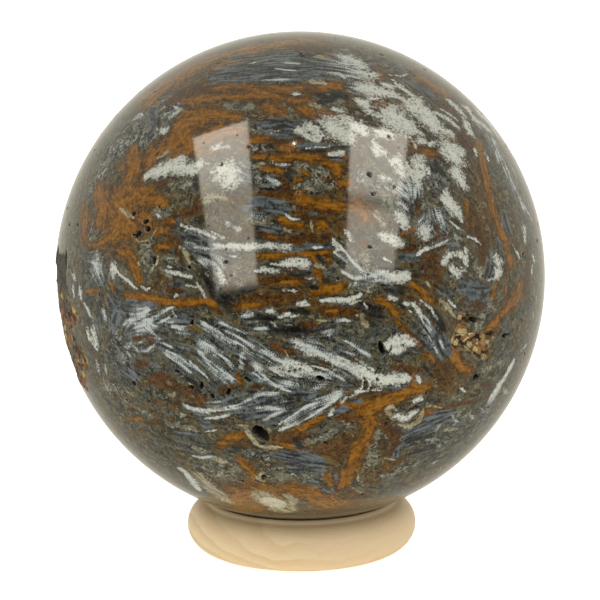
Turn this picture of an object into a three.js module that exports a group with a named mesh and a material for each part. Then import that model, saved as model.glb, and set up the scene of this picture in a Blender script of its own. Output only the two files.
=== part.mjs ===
// A polished ball of brecciated, fibrous quartz resting on a turned wooden ring.
// Millimetres, +Z up, origin on the ground under the middle of the ring.
// The front of the ball faces -Y.
import * as THREE from 'three';
import { mergeVertices } from 'three/addons/utils/BufferGeometryUtils.js';

// ---- driving dimensions -------------------------------------------------
const BALL_RADIUS = 50;          // ball, 100 mm across
const RING_MAJOR_RADIUS = 18.8;  // middle of the ring's round section
const RING_SECTION_RADIUS = 4.95;
const RING_FLAT = 0.3;           // sanded off the underside so that the ring stands
const SEAT_GAP = 0.3;            // clearance between ball and ring
const RING_TURNS = 64;
const RING_SECTION_STEPS = 16;
const BALL_DETAIL = 11;          // even triangles over the ball, before the pits are refined
const FINEST_EDGE = 0.42;        // shortest edge wanted inside a small pit

const RING_MIDDLE_Z = RING_SECTION_RADIUS - RING_FLAT;
const BALL_MIDDLE_Z = RING_MIDDLE_Z + Math.sqrt(
  (BALL_RADIUS + SEAT_GAP + RING_SECTION_RADIUS) ** 2 - RING_MAJOR_RADIUS ** 2);

// ---- natural hollows in the stone ---------------------------------------
// Each is an ellipse on the ball: longitude (0 at the front, towards +X) and latitude in degrees,
// half length and half width in mm, the turn of its length from east in degrees, and depth in mm.
const PITS = [
  { name: 'well', lon: -9.9, lat: -26.5, half: [2.05, 1.45], turn: -62, deep: 3.0 },
  { name: 'keyhole', lon: 17.8, lat: -5.8, half: [1.5, 0.55], turn: -66, deep: 1.9 },
  { name: 'notch', lon: 4.3, lat: -12.2, half: [1.05, 0.6], turn: -25, deep: 1.6 },
  { name: 'slit', lon: 27.3, lat: -21.5, half: [1.85, 0.5], turn: 17, deep: 1.5 },
  { name: 'low_pit', lon: -11.0, lat: -40.5, half: [0.75, 0.55], turn: 70, deep: 0.9 },
  { name: 'grain_pit_a', lon: -16.5, lat: -15.8, half: [0.95, 0.45], turn: 66, deep: 1.1 },
  { name: 'grain_pit_b', lon: -22.8, lat: -14.7, half: [0.95, 0.45], turn: 71, deep: 1.0 },
  { name: 'grain_pit_c', lon: -11.8, lat: -12.5, half: [0.85, 0.45], turn: -34, deep: 0.9 },
  { name: 'eye_a', lon: -37.4, lat: 18.9, half: [0.72, 0.58], turn: 0, deep: 1.4 },
  { name: 'eye_b', lon: -40.1, lat: 17.4, half: [1.1, 0.52], turn: 36, deep: 1.3 },
  { name: 'eye_c', lon: -34.2, lat: 12.4, half: [0.85, 0.45], turn: -88, deep: 1.0 },
  { name: 'vein_pit', lon: 44.4, lat: -16.1, half: [1.0, 0.75], turn: -51, deep: 1.2 },
];

// Rough crystal pockets: overlapping ellipses share one hollow.
const POCKETS = [
  { name: 'crystal_pocket', deep: 1.35, rough: 0.5, edge: 0.9,
    lobes: [
      { lon: 38.9, lat: -1.5, half: [2.4, 1.2], turn: -4 },
      { lon: 37.8, lat: -3.8, half: [1.9, 1.6], turn: -33 },
      { lon: 37.5, lat: -6.5, half: [2.4, 1.7], turn: -19 },
      { lon: 42.1, lat: -7.2, half: [4.6, 2.0], turn: -14 },
      { lon: 44.5, lat: -9.7, half: [2.8, 1.7], turn: -20 },
    ] },
  // The ball was cut from a block a little too small here: a shallow rough place is left on its side.
  { name: 'side_scar', deep: 0.5, rough: 0.26, edge: 0.5, square: 2.6,
    lobes: [{ lon: -79.0, lat: -8.5, half: [14.2, 13.4], turn: 0 }] },
  { name: 'foot_chip', deep: 0.38, rough: 0.2, edge: 0.5,
    lobes: [{ lon: -10.4, lat: -52.6, half: [2.9, 2.2], turn: -40 }] },
  // Two modest hollows on the far side.
  { name: 'far_pocket', deep: 0.9, rough: 0.4, edge: 0.8,
    lobes: [
      { lon: 158.0, lat: 14.0, half: [3.4, 1.7], turn: 25 },
      { lon: 154.0, lat: 11.0, half: [2.0, 1.8], turn: 0 },
    ] },
  { name: 'far_pit', deep: 1.1, rough: 0.1, edge: 0.5,
    lobes: [{ lon: -141.0, lat: -20.0, half: [1.3, 0.9], turn: 40 }] },
];

// ---- smooth value noise, the same every time ----------------------------
const lattice = (i, j, k) => {
  let h = Math.imul(i, 374761393) ^ Math.imul(j, 668265263) ^ Math.imul(k, 2147483647);
  h = Math.imul(h ^ (h >>> 13), 1274126177);
  return ((h ^ (h >>> 16)) >>> 0) / 4294967295 * 2 - 1;
};
const fade = (t) => t * t * (3 - 2 * t);
function noise(p, scale) {
  const x = p.x * scale, y = p.y * scale, z = p.z * scale;
  const i = Math.floor(x), j = Math.floor(y), k = Math.floor(z);
  const u = fade(x - i), v = fade(y - j), w = fade(z - k);
  const mix = THREE.MathUtils.lerp;
  const row = (dj, dk) => mix(lattice(i, j + dj, k + dk), lattice(i + 1, j + dj, k + dk), u);
  return mix(mix(row(0, 0), row(1, 0), v), mix(row(0, 1), row(1, 1), v), w);
}

// ---- hollows ------------------------------------------------------------
function direction(lonDeg, latDeg) {
  const lon = THREE.MathUtils.degToRad(lonDeg), lat = THREE.MathUtils.degToRad(latDeg);
  return new THREE.Vector3(Math.cos(lat) * Math.sin(lon), -Math.cos(lat) * Math.cos(lon), Math.sin(lat));
}

function makeLobe({ lon, lat, half, turn }, square = 2) {
  const middle = direction(lon, lat);
  const east = new THREE.Vector3(0, 0, 1).cross(middle).normalize();
  const north = middle.clone().cross(east);
  const a = THREE.MathUtils.degToRad(turn);
  const along = east.clone().multiplyScalar(Math.cos(a)).addScaledVector(north, Math.sin(a));
  const across = middle.clone().cross(along);
  return { middle, along, across, half, square };
}

// 0 at a lobe's middle, 1 on its outline
function reach(lobe, d) {
  const c = d.dot(lobe.middle);
  if (c < 0.5) return 9;
  const s = BALL_RADIUS * Math.acos(Math.min(1, c)) / Math.max(1e-9, Math.sqrt(1 - c * c));
  const x = Math.abs(d.dot(lobe.along) * s / lobe.half[0]);
  const y = Math.abs(d.dot(lobe.across) * s / lobe.half[1]);
  return (x ** lobe.square + y ** lobe.square) ** (1 / lobe.square);
}

const hollows = [
  ...PITS.map((pit) => ({ deep: pit.deep, rough: 0.08, lobes: [makeLobe(pit)], bowl: true })),
  ...POCKETS.map((p) => ({ ...p, lobes: p.lobes.map((l) => makeLobe(l, p.square ?? 2)) })),
];
for (const h of hollows) h.size = Math.min(...h.lobes.map((l) => l.half[1]));

function depthAt(d) {
  let depth = 0;
  for (const h of hollows) {
    let q = Math.min(...h.lobes.map((l) => reach(l, d)));
    if (q > 1.6) continue;
    const mm = d.clone().multiplyScalar(BALL_RADIUS);
    q *= 1 + 0.14 * noise(mm, 0.9 / h.size) + 0.06 * noise(mm, 2.3 / h.size);
    if (q >= 1) continue;
    let deep;
    if (h.bowl) {
      deep = h.deep * Math.sqrt(1 - q ** 3);
    } else {
      const step = Math.min(1, (1 - q) * h.size / h.edge);
      deep = h.deep * (0.55 * fade(step) + 0.45 * (1 - q * q))
        + h.rough * fade(step) * (0.7 * noise(mm, 0.75) + 0.5 * noise(mm, 1.6));
    }
    depth = Math.max(depth, deep);
  }
  return depth;
}

// how long an edge may be near a direction
function wantedEdge(d) {
  let edge = Infinity;
  for (const h of hollows) {
    const q = Math.min(...h.lobes.map((l) => reach(l, d)));
    if (q > 1.25) continue;
    const fine = h.bowl ? Math.max(FINEST_EDGE, 0.6 * h.size) : Math.min(2.8, Math.max(0.9, 0.6 * h.size));
    edge = Math.min(edge, q > 0.8 ? 0.8 * fine : fine);
  }
  return edge;
}

// ---- the ball: even triangles, split along their longest sides near each hollow ----
function ballGeometry() {
  const seed = new THREE.IcosahedronGeometry(1, BALL_DETAIL);
  seed.deleteAttribute('normal');
  seed.deleteAttribute('uv');
  const even = mergeVertices(seed, 1e-6);
  const points = [];
  for (let i = 0; i < even.attributes.position.count; i += 1) {
    points.push(new THREE.Vector3().fromBufferAttribute(even.attributes.position, i).normalize());
  }
  let faces = [];
  for (let i = 0; i < even.index.count; i += 3) {
    faces.push([even.index.getX(i), even.index.getX(i + 1), even.index.getX(i + 2)]);
  }
  const key = (a, b) => (a < b ? `${a}_${b}` : `${b}_${a}`);
  const length = (a, b) => points[a].distanceTo(points[b]) * BALL_RADIUS;
  const longest = (f) => {
    let best = 0;
    for (let e = 1; e < 3; e += 1) {
      if (length(f[e], f[(e + 1) % 3]) > length(f[best], f[(best + 1) % 3]) + 1e-9) best = e;
    }
    return best;
  };
  for (let round = 0; round < 12; round += 1) {
    const split = new Map();
    for (const f of faces) {
      const e = longest(f);
      const a = f[e], b = f[(e + 1) % 3];
      const middle = points[f[0]].clone().add(points[f[1]]).add(points[f[2]]).normalize();
      const wanted = Math.min(wantedEdge(middle), ...f.map((i) => wantedEdge(points[i])));
      if (length(a, b) > wanted * 1.35) split.set(key(a, b), -1);
    }
    if (!split.size) break;
    // a face with any split side also splits its longest side, so that the mesh stays closed
    for (let grew = true; grew;) {
      grew = false;
      for (const f of faces) {
        const hit = [0, 1, 2].some((e) => split.has(key(f[e], f[(e + 1) % 3])));
        if (!hit) continue;
        const e = longest(f);
        const k = key(f[e], f[(e + 1) % 3]);
        if (!split.has(k)) { split.set(k, -1); grew = true; }
      }
    }
    for (const k of split.keys()) {
      const [a, b] = k.split('_').map(Number);
      points.push(points[a].clone().add(points[b]).normalize());
      split.set(k, points.length - 1);
    }
    const next = [];
    const cut = (f) => {
      const e = longest(f);
      const [a, b, c] = [f[e], f[(e + 1) % 3], f[(e + 2) % 3]];
      const m = split.get(key(a, b));
      if (m === undefined) { next.push(f); return; }
      for (const half of [[c, a, m], [b, c, m]]) {
        const side = split.get(key(half[0], half[1]));
        if (side === undefined) next.push(half);
        else next.push([half[0], side, half[2]], [side, half[1], half[2]]);
      }
    };
    faces.forEach(cut);
    faces = next;
  }
  const positions = new Float32Array(points.length * 3);
  points.forEach((d, i) => d.clone().multiplyScalar(BALL_RADIUS - depthAt(d)).toArray(positions, i * 3));
  const geometry = new THREE.BufferGeometry();
  geometry.setAttribute('position', new THREE.BufferAttribute(positions, 3));
  geometry.setIndex(faces.flat());
  geometry.computeVertexNormals();
  return geometry;
}

// ---- the ring: a round section with a narrow flat underneath ------------
function ringGeometry() {
  const low = Math.asin((RING_SECTION_RADIUS - RING_FLAT) / RING_SECTION_RADIUS);
  const profile = [];
  for (let i = 0; i <= RING_SECTION_STEPS; i += 1) {
    const t = -low + (Math.PI + 2 * low) * i / RING_SECTION_STEPS;
    profile.push(new THREE.Vector2(
      RING_MAJOR_RADIUS + RING_SECTION_RADIUS * Math.cos(t), RING_SECTION_RADIUS * Math.sin(t)));
  }
  profile.push(profile[0].clone());
  const geometry = new THREE.LatheGeometry(profile, RING_TURNS);
  geometry.rotateX(Math.PI / 2);
  return geometry;
}

const stone = new THREE.MeshStandardMaterial({ color: 0x6b604e, roughness: 0.16, metalness: 0 });
stone.name = 'polished_stone';
const wood = new THREE.MeshStandardMaterial({ color: 0xdec59e, roughness: 0.55, metalness: 0 });
wood.name = 'turned_wood';

const ball = new THREE.Mesh(ballGeometry(), stone);
ball.name = 'stone_sphere';
ball.position.z = BALL_MIDDLE_Z;

const ring = new THREE.Mesh(ringGeometry(), wood);
ring.name = 'ring_stand';
ring.position.z = RING_MIDDLE_Z;

const object = new THREE.Group();
object.name = 'decorative_sphere';
object.add(ball, ring);
export default object;
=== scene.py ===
# A polished ball of fibrous brown-and-blue stone on a turned wooden ring.
import math
import bpy
import numpy as np
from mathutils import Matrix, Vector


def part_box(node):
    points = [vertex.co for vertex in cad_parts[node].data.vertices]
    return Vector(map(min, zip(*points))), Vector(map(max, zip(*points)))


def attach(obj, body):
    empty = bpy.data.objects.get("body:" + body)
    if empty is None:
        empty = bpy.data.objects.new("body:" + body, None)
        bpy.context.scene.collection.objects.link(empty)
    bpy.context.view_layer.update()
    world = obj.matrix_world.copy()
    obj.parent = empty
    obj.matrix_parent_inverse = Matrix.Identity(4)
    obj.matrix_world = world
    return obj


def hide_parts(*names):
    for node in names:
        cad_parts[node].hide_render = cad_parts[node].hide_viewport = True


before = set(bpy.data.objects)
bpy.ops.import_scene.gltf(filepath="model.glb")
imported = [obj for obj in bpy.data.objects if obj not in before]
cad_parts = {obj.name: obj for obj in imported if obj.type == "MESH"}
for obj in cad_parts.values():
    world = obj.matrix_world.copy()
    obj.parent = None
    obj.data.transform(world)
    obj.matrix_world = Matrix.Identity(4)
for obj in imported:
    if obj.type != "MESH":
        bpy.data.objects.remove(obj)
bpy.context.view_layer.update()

ball_lo, ball_hi = (np.array(c, float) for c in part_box("stone_sphere"))
ring_lo, ring_hi = (np.array(c, float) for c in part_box("ring_stand"))
BALL = (ball_lo + ball_hi) / 2            # middle of the ball, metres
R_MM = 50.0                               # its radius
RING_R, RING_r = 18.8, 4.95               # ring: middle line and section radius, mm
MIRRORED = [1.0, .86, .70, .62, .46, .15, .09]      # studio brightness from behind the object to in front of it, as the polish mirrors it
CAST = [1.0, .99, .985, .98, .95, .90, .86]          # and as it lights the surface
rng = np.random.default_rng(41)


# ------------------------------------------------------------------ helpers on the ball
def unit(lon, lat):
    lo, la = np.radians(lon), np.radians(lat)
    return np.stack([np.cos(la) * np.sin(lo), -np.cos(la) * np.cos(lo), np.sin(la)], -1)


def east_north(n):
    e = np.stack([-n[..., 1], n[..., 0], 0 * n[..., 0]], -1)
    e = e / (np.linalg.norm(e, axis=-1, keepdims=True) + 1e-9)
    return e, np.cross(n, e)


def hash3(i, j, k, seed):
    h = (i.astype(np.int64) * 374761393 + j.astype(np.int64) * 668265263 + k.astype(np.int64) * 2147483647 + seed * 144269) & 0xFFFFFFFF
    h = ((h ^ (h >> 13)) * 1274126177) & 0xFFFFFFFF
    h = ((h ^ (h >> 16)) * 2246822519) & 0xFFFFFFFF
    return ((h ^ (h >> 15)) & 0xFFFFFF) / 16777215.0


def noise(p, seed=1):
    """Value noise from 0 to 1 at the points p."""
    f = np.floor(p); t = p - f; t = t * t * (3 - 2 * t); f = f.astype(np.int64)
    out = np.zeros(len(p))
    for a in (0, 1):
        for b in (0, 1):
            for c in (0, 1):
                w = (t[:, 0] if a else 1 - t[:, 0]) * (t[:, 1] if b else 1 - t[:, 1]) * (t[:, 2] if c else 1 - t[:, 2])
                out += w * hash3(f[:, 0] + a, f[:, 1] + b, f[:, 2] + c, seed)
    return out


def fade(x):
    x = np.clip(x, 0, 1)
    return x * x * (3 - 2 * x)


# ------------------------------------------------------------------ the stone's pattern, laid one by one
# Each line: class, half width in mm, strength, then lon,lat points in degrees. lon 0 is the front.
# w white fibre (with painted sheen where silky), c cream, o orange, r rust, y olive, b blue-grey fibre, k charcoal, g
# pale speckle, s dark speckle,
# n plain, f grain direction only; C, H, D wide soft drifts of cooler, warmer and darker ground.
STROKES = """
o 3.00 0.9 -72.6,48.7 -68.9,52.4 -66.5,56.3 -65.6,60.4 -63.5,64.1 -57.7,67.0
o 1.72 0.78 -67.5,50.5 -61.1,53.1 -58.7,56.9 -56.1,59.1
s 3.91 1 -54.5,48.4 -50.4,44.5 -50.7,41.1
s 3.61 0.9 -54.5,40.8 -60.2,37.2 -62.7,34.6
s 3.00 0.6 -63.2,31.2 -61.8,28.1 -63.4,25.0
w 0.77 0.8 -45.2,46.4 -43.9,47.4
w 0.71 1 -45.0,41.8 -43.6,42.2
w 0.74 0.7 -62.5,44.3 -60.3,45.4
w 0.36 0.8 -46.6,49.9 -45.0,49.1
o 2.50 1.12 -38.3,38.6 -38.5,42.0 -36.7,45.8 -31.6,46.9 -28.2,47.4
o 2.13 1.12 -36.5,36.9 -33.5,37.6
r 1.53 0.88 -51.4,50.9 -46.7,51.5
o 1.19 1.01 -45.4,50.6 -38.8,51.7 -31.8,52.4
o 0.89 1.4 -37.1,45.7 -35.6,46.4
o 1.74 0.9 -41.8,37.1 -44.0,34.9 -43.6,31.9 -43.5,29.3
o 1.06 0.9 -51.3,36.8 -47.4,32.8 -46.1,29.3
o 1.11 0.78 -53.8,31.5 -53.6,32.2
o 1.10 1.01 -51.3,26.6 -44.8,27.0 -39.6,27.3
r 1.31 0.66 -40.9,28.6 -37.0,28.6 -35.0,30.0
w 1.04 1.1 -42.4,30.6 -38.9,32.5 -34.3,33.4 -29.6,33.4 -27.3,34.5
w 0.59 1 -35.0,34.8 -33.0,35.4
k 0.23 0.9 -42.0,31.1 -39.4,32.3 -35.7,33.0
k 0.20 0.8 -38.4,31.6 -34.9,32.6
c 0.67 0.6 -41.1,35.1 -39.5,36.0 -38.0,37.1
g 1.23 0.7 -34.1,29.3 -31.0,29.1 -28.3,29.9
c 0.39 0.7 -31.0,30.9 -29.1,30.6
o 1.01 0.67 -30.6,39.9 -28.0,38.4 -27.7,36.4
r 1.21 0.44 -27.9,40.5 -23.6,41.7 -18.3,42.7
w 0.89 0.35 -25.0,38.8 -22.0,39.2 -19.6,39.0
k 0.30 0.9 -14.4,36.7 -13.1,35.8
w 1.66 1.1 -20.2,33.1 -18.5,33.9 -16.7,33.0 -17.9,31.3
g 0.95 0.6 -16.9,30.2 -15.3,29.6
w 0.27 0.5 -27.5,36.0 -25.9,34.8 -24.1,34.7
c 1.60 0.35 -23.0,26.3 -20.8,27.3 -18.2,27.0
k 0.31 0.8 -21.7,25.3 -21.2,24.2
b 1.20 0.9 -84.0,73.0 -75.6,76.0 -62.2,78.7 -49.2,81.4 -28.8,83.1
k 0.69 0.8 -60.9,76.2 -47.0,78.6 -31.7,82.0
g 0.86 0.5 -74.3,69.7 -70.2,72.6
o 2.36 1.01 -57.7,67.0 -50.8,69.6 -40.9,73.0 -26.5,75.4 -9.2,77.9 13.2,78.5
o 2.15 0.5 -3.7,81.3 16.7,79.3 25.1,75.2
o 1.37 0.9 -47.0,63.4 -40.1,64.7 -33.9,65.9
b 1.72 0.7 -40.6,67.5 -29.6,68.4
b 2.15 1 -23.0,68.6 -5.6,69.8 8.3,68.7 17.0,67.1
b 2.97 1 -37.9,61.0 -23.5,61.9 -11.9,63.8 0.7,63.8 11.9,64.1
b 1.67 0.8 -38.5,58.6 -26.2,59.1 -15.1,60.2 -3.9,60.3 7.3,60.5
s 1.29 0.6 -31.6,57.1 -25.0,57.7
w 0.38 0.8 -8.1,66.4 0.7,65.5
w 0.28 0.7 -11.3,63.4 -1.3,62.6
w 0.26 0.6 -15.9,59.0 -3.7,59.1
w 0.34 0.6 -26.8,65.2 -24.9,65.7
k 0.77 1 0.9,69.8 6.6,69.3
k 0.43 0.7 -22.2,61.6 -14.6,62.1
k 0.48 0.6 -40.1,59.7 -32.9,61.6
o 1.08 1.12 11.5,63.2 13.5,63.2
w 0.81 0.9 14.9,61.9 18.5,61.4 20.3,59.8
w 1.54 1 28.4,67.6 29.7,65.2 32.0,63.8
w 1.31 1 25.4,62.4 30.3,61.0 35.0,59.9
b 1.17 0.5 32.6,64.6 41.1,64.2
o 0.75 0.9 21.3,65.1 20.5,60.2 26.8,58.4 35.3,58.0
c 1.25 0.6 12.3,69.2 19.4,67.0
o 0.86 0.9 21.8,69.4 27.8,68.7
c 1.00 0.6 4.8,58.7 11.2,57.5
o 0.75 1.12 8.5,56.5 16.2,57.4
g 1.49 0.6 35.4,71.6 35.9,69.9
s 2.15 0.45 47.8,62.9 58.4,62.1 64.1,60.7
w 0.38 0.6 44.2,59.4 50.5,58.5 56.0,58.9
o 1.16 1.12 -34.8,55.6 -24.2,56.7 -19.8,56.5
o 1.03 1.23 -19.2,55.4 -14.1,54.9 -9.9,53.6 -6.4,52.4
o 1.03 1.01 -13.0,56.2 -5.4,55.6 0.5,56.3
o 0.99 1.12 -31.8,52.4 -22.0,53.1 -14.3,53.3
o 0.93 1.01 -3.1,52.1 4.7,52.3
r 1.34 0.99 -32.3,54.0 -20.7,54.4 -13.3,52.3
r 0.99 0.77 -0.7,55.3 3.4,54.3 4.7,52.3
g 1.61 0.8 -26.6,49.8 -21.4,50.6 -17.0,50.4
g 1.00 0.9 -5.6,54.3 0.4,54.3
w 0.43 0.8 -2.6,54.3 0.1,54.3
g 1.22 1 -5.1,50.9 -2.9,48.5
o 1.06 1.01 -27.6,47.7 -19.1,46.8
k 0.79 0.4 -28.4,51.9 -24.3,51.7
o 1.36 1.12 -11.6,50.2 -6.9,48.8 -4.5,47.3
o 0.82 1.34 1.4,49.6 6.3,49.0 9.5,48.3 12.7,47.7
r 1.14 0.88 -2.4,51.2 0.4,49.9 3.5,47.0
s 2.39 1 7.2,54.2 12.5,53.1 10.7,50.4
k 1.16 0.8 12.6,54.4 17.0,53.0
k 0.66 0.8 8.1,51.4 11.0,51.9
c 0.79 0.8 3.8,51.1 6.9,50.5
w 0.63 0.8 11.8,49.5 14.7,48.8
g 1.05 0.8 16.9,48.4 22.2,47.6
w 1.57 1.1 24.1,56.7 28.0,55.5 33.5,54.5
w 0.91 1 21.2,51.6 23.9,50.8 24.2,48.7 24.8,47.8
w 0.42 0.9 26.2,52.0 30.0,52.1
r 1.03 0.88 19.1,57.3 18.7,52.6 17.6,48.4
r 0.77 0.66 14.5,47.3 19.6,46.6 24.4,45.8
k 0.54 0.6 18.1,49.5 21.1,48.2
b 1.77 1.1 -10.2,45.1 -5.2,45.4 -1.5,44.3
s 1.23 0.9 -13.1,44.2 -11.0,43.2
b 0.91 1 -8.6,42.9 -2.6,42.2
k 0.70 0.7 -7.2,43.7 -4.3,44.8
w 0.23 0.8 -8.6,42.9 -5.1,43.7
w 0.82 0.9 -0.0,43.7 1.7,42.7
w 1.05 1 3.0,44.5 5.6,43.4
k 0.60 0.9 1.9,46.2 2.7,44.8
k 0.68 0.9 6.4,45.3 7.6,42.6
w 1.60 1.2 9.5,45.2 11.6,43.3 13.7,41.9
w 1.49 1 14.5,45.9 18.1,44.1
w 0.69 1.1 11.2,41.4 14.8,40.5
w 0.23 0.9 4.6,42.4 9.5,41.7
o 0.92 1.01 -14.2,41.0 -9.0,41.9
r 0.99 1.1 -8.3,40.8 0.2,40.8 5.3,40.5 10.5,40.7
o 0.88 1.23 -4.8,39.3 -2.0,39.3
s 0.96 0.8 -12.6,39.2 -9.2,39.0
k 0.60 0.5 -8.2,39.8 -6.4,38.6
b 0.71 1 0.2,39.6 5.8,39.5 10.9,39.6
w 0.22 0.9 1.9,39.0 8.6,39.2
w 0.47 1 8.3,37.4 12.5,37.8
b 0.64 0.8 8.2,36.5 10.9,36.1
k 0.57 0.7 0.2,38.6 7.0,38.2
o 0.76 1.4 -7.6,36.8 -4.3,36.1 -1.9,36.8
o 0.64 1.12 -11.7,36.8 -9.5,36.8
o 0.77 1.01 -2.0,37.3 2.3,36.6 6.1,36.5
r 0.94 1.1 -1.1,37.6 5.0,36.5 12.2,35.9
o 1.03 1.23 6.8,35.5 9.4,35.0 10.3,32.6
o 0.39 1.4 12.1,36.8 12.8,36.6
c 0.64 0.8 -9.8,35.1 -11.8,34.3
w 0.31 0.6 -6.1,35.1 -2.4,35.1
g 1.03 1.1 1.0,35.1 3.5,33.9 7.0,32.9
k 0.40 0.7 1.7,34.4 3.2,33.2
o 0.61 1.23 -9.7,34.1 -6.5,33.7 -3.4,32.8
s 1.54 1 -11.3,32.7 -7.9,31.6 -6.3,29.7
w 0.46 0.9 -7.9,32.0 -5.3,30.4
k 0.69 0.8 -3.4,32.8 -2.1,31.4
r 0.83 1.1 -4.9,31.4 -3.3,29.5
o 0.52 1.12 -1.8,30.9 0.6,31.6
o 0.40 1.01 0.9,33.5 2.2,32.7
g 0.72 0.9 -1.8,29.8 2.4,30.4
g 1.01 0.8 3.6,31.1 7.3,30.1
o 0.71 1.12 10.6,30.5 12.7,30.9
r 0.79 0.88 8.8,32.1 10.9,28.9
r 0.79 0.99 -9.1,28.1 -4.7,28.4 0.1,28.4
o 0.51 1.12 -0.9,28.2 1.6,28.6
s 0.79 0.7 2.1,28.8 6.2,29.0
k 0.40 0.6 -8.7,29.3 -5.2,29.1
o 0.90 1.34 -0.4,26.8 3.9,26.3 7.2,25.6 10.2,25.1
r 0.96 1.1 0.1,25.0 4.3,24.5 9.0,24.4
b 1.17 0.8 -11.8,25.8 -8.0,26.3 -4.2,25.7
s 0.96 0.6 -3.7,25.7 -1.3,25.0
b 0.69 0.8 -13.1,24.2 -7.8,23.9 -3.2,24.2
w 0.23 0.6 -11.6,23.4 -7.8,23.2
g 1.14 0.6 -11.5,22.3 -7.7,21.9
k 0.17 0.8 -11.4,21.2 -8.4,20.8
o 0.75 1.23 -4.5,22.6 -2.2,21.5 0.3,21.1
r 0.68 1.1 0.1,23.1 2.4,22.4
o 0.83 1.4 4.4,21.3 5.3,21.2
b 0.38 0.9 1.5,23.5 3.8,23.7
w 0.23 1 -3.2,23.5 -1.8,22.6 -0.2,22.6
c 0.30 0.8 2.6,22.4 2.8,20.0
c 0.41 0.7 -3.6,20.5 -2.2,20.0
s 0.56 0.7 -6.3,20.7 -0.9,20.0
r 0.93 1.21 -9.4,19.1 -5.6,18.7 -0.9,18.1 4.5,18.0 7.0,18.6
o 0.63 0.9 -7.2,19.4 -5.8,18.5
k 0.56 0.6 -9.9,18.9 -8.5,18.0
k 0.56 0.5 5.0,18.9 6.7,18.0
w 0.56 0.9 -10.2,16.7 -7.1,16.8 -2.2,16.4
b 0.45 1 -1.7,16.0 0.0,16.0
b 0.67 1 0.9,16.8 4.5,16.7 8.0,16.7
w 0.30 0.6 2.7,16.4 4.9,16.5
o 0.63 1.4 -9.4,14.4 -5.5,14.7 -1.5,14.9
o 0.56 1.34 -1.5,15.1 3.3,15.1 6.8,15.4
o 0.56 1.34 2.8,14.2 3.7,12.1 4.3,9.3
o 0.48 1.23 6.6,15.0 5.9,13.3
k 0.56 0.7 3.9,14.6 4.8,13.3
w 0.70 1.2 -4.1,13.0 -1.1,13.2 1.9,12.8
w 0.19 0.8 -2.2,14.0 0.9,14.0
c 0.48 1 3.5,12.7 4.8,12.1
k 0.44 0.7 -7.4,12.9 -6.1,12.5
w 0.55 0.8 -9.6,11.6 -6.5,11.7 -4.8,11.5
w 0.37 0.6 -6.3,13.0 -3.9,12.8
r 0.48 1.1 -3.7,11.7 -0.0,11.7
r 0.92 1.3 -8.2,9.3 -3.2,9.8 1.5,9.6
o 0.48 1.01 -3.9,9.2 -0.0,9.2
w 0.13 0.8 -0.5,10.0 4.3,9.7
k 0.55 0.7 -2.2,10.7 2.1,11.1
k 0.63 0.8 1.2,8.5 3.8,7.9
w 0.37 0.7 -3.5,7.5 -0.7,7.3
k 0.37 0.6 -6.5,7.9 -3.9,7.5
o 0.85 1.34 2.7,7.2 5.9,7.4 9.6,8.3
b 0.55 0.6 5.6,11.2 7.8,12.0
r 1.11 1.21 -13.4,4.3 -9.5,4.8 -5.2,5.8 -0.7,6.4
o 0.56 0.9 -12.9,3.7 -9.0,4.2
r 0.74 0.77 -3.5,6.2 -0.0,6.8
k 1.11 0.9 -17.0,5.0 -14.1,6.0
k 0.93 0.7 -13.0,7.3 -9.7,7.8
s 1.31 1 -11.2,2.0 -6.9,2.5
k 0.75 0.8 -10.3,1.6 -5.2,1.5
w 0.45 0.8 -12.5,1.8 -10.3,2.3
w 0.45 0.9 -7.1,3.0 -5.4,3.0
w 0.37 0.9 -4.5,1.7 -2.2,2.6
w 0.26 0.7 -2.2,1.7 -0.1,2.2
k 0.60 1 -2.2,3.0 -0.7,2.4
k 0.56 0.8 -0.1,3.4 1.6,2.6
w 0.52 0.9 -0.5,4.7 1.4,4.5
k 0.95 0.9 -8.2,-0.1 -3.3,-1.1 1.0,-1.3
s 0.94 0.8 -3.5,0.7 -0.9,0.2
r 0.76 0.99 -0.1,-0.2 2.5,-0.0
w 0.38 0.8 -9.7,-1.0 -7.3,-0.7
w 0.27 0.6 -6.0,0.6 -5.2,-0.2
k 0.46 0.9 -0.1,-1.7 2.9,-1.1 5.4,-0.3
w 0.41 1 4.4,5.1 7.4,5.4 10.2,5.1 12.2,5.7 13.1,6.3
w 0.23 0.8 10.6,4.2 13.0,4.8
b 0.37 0.9 8.5,4.1 11.1,4.2
r 1.05 1.21 5.0,2.9 8.4,2.6 11.5,2.3
o 0.48 1.01 6.3,3.1 7.6,2.6
c 0.30 0.7 3.5,1.0 6.5,0.7
w 0.34 0.8 7.4,0.5 9.1,0.9 10.8,0.4
k 1.05 0.9 13.2,3.7 15.4,2.5 16.8,3.1
w 0.26 0.6 13.7,4.3 14.6,2.8
c 0.56 0.8 13.2,0.7 14.3,-0.5
c 0.30 0.6 11.7,1.8 14.1,1.5
n 1.53 0.9 10.6,-1.6 15.0,-1.6
k 0.93 0.5 14.1,2.4 18.1,0.8
y 0.31 0.9 -14.9,0.4 -12.1,-0.6
y 0.31 0.8 -10.1,-1.9 -7.8,-2.7
w 0.30 0.7 4.6,-1.6 6.3,-1.2 6.3,-2.7
w 0.19 0.7 7.1,-1.2 6.3,-2.5 5.0,-2.0
k 0.23 0.8 5.0,-2.0 6.7,-2.5
o 3.20 1.12 -49.8,24.9 -47.4,21.2 -47.2,18.1
o 1.36 1.12 -48.4,16.2 -50.9,14.3 -54.2,13.2
o 1.11 1.12 -44.0,19.8 -40.4,17.0 -43.1,17.2
o 1.39 0.78 -65.5,21.1 -61.5,17.0 -59.3,13.9
o 0.58 1.01 -57.5,13.2 -52.7,13.8
o 1.13 1.12 -44.8,13.5 -42.0,12.9 -40.1,11.3 -38.6,9.1 -37.9,7.4
o 1.15 1.12 -38.1,25.3 -33.7,25.0
r 0.95 1.1 -28.2,23.3 -24.8,24.0 -25.3,26.2
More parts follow.
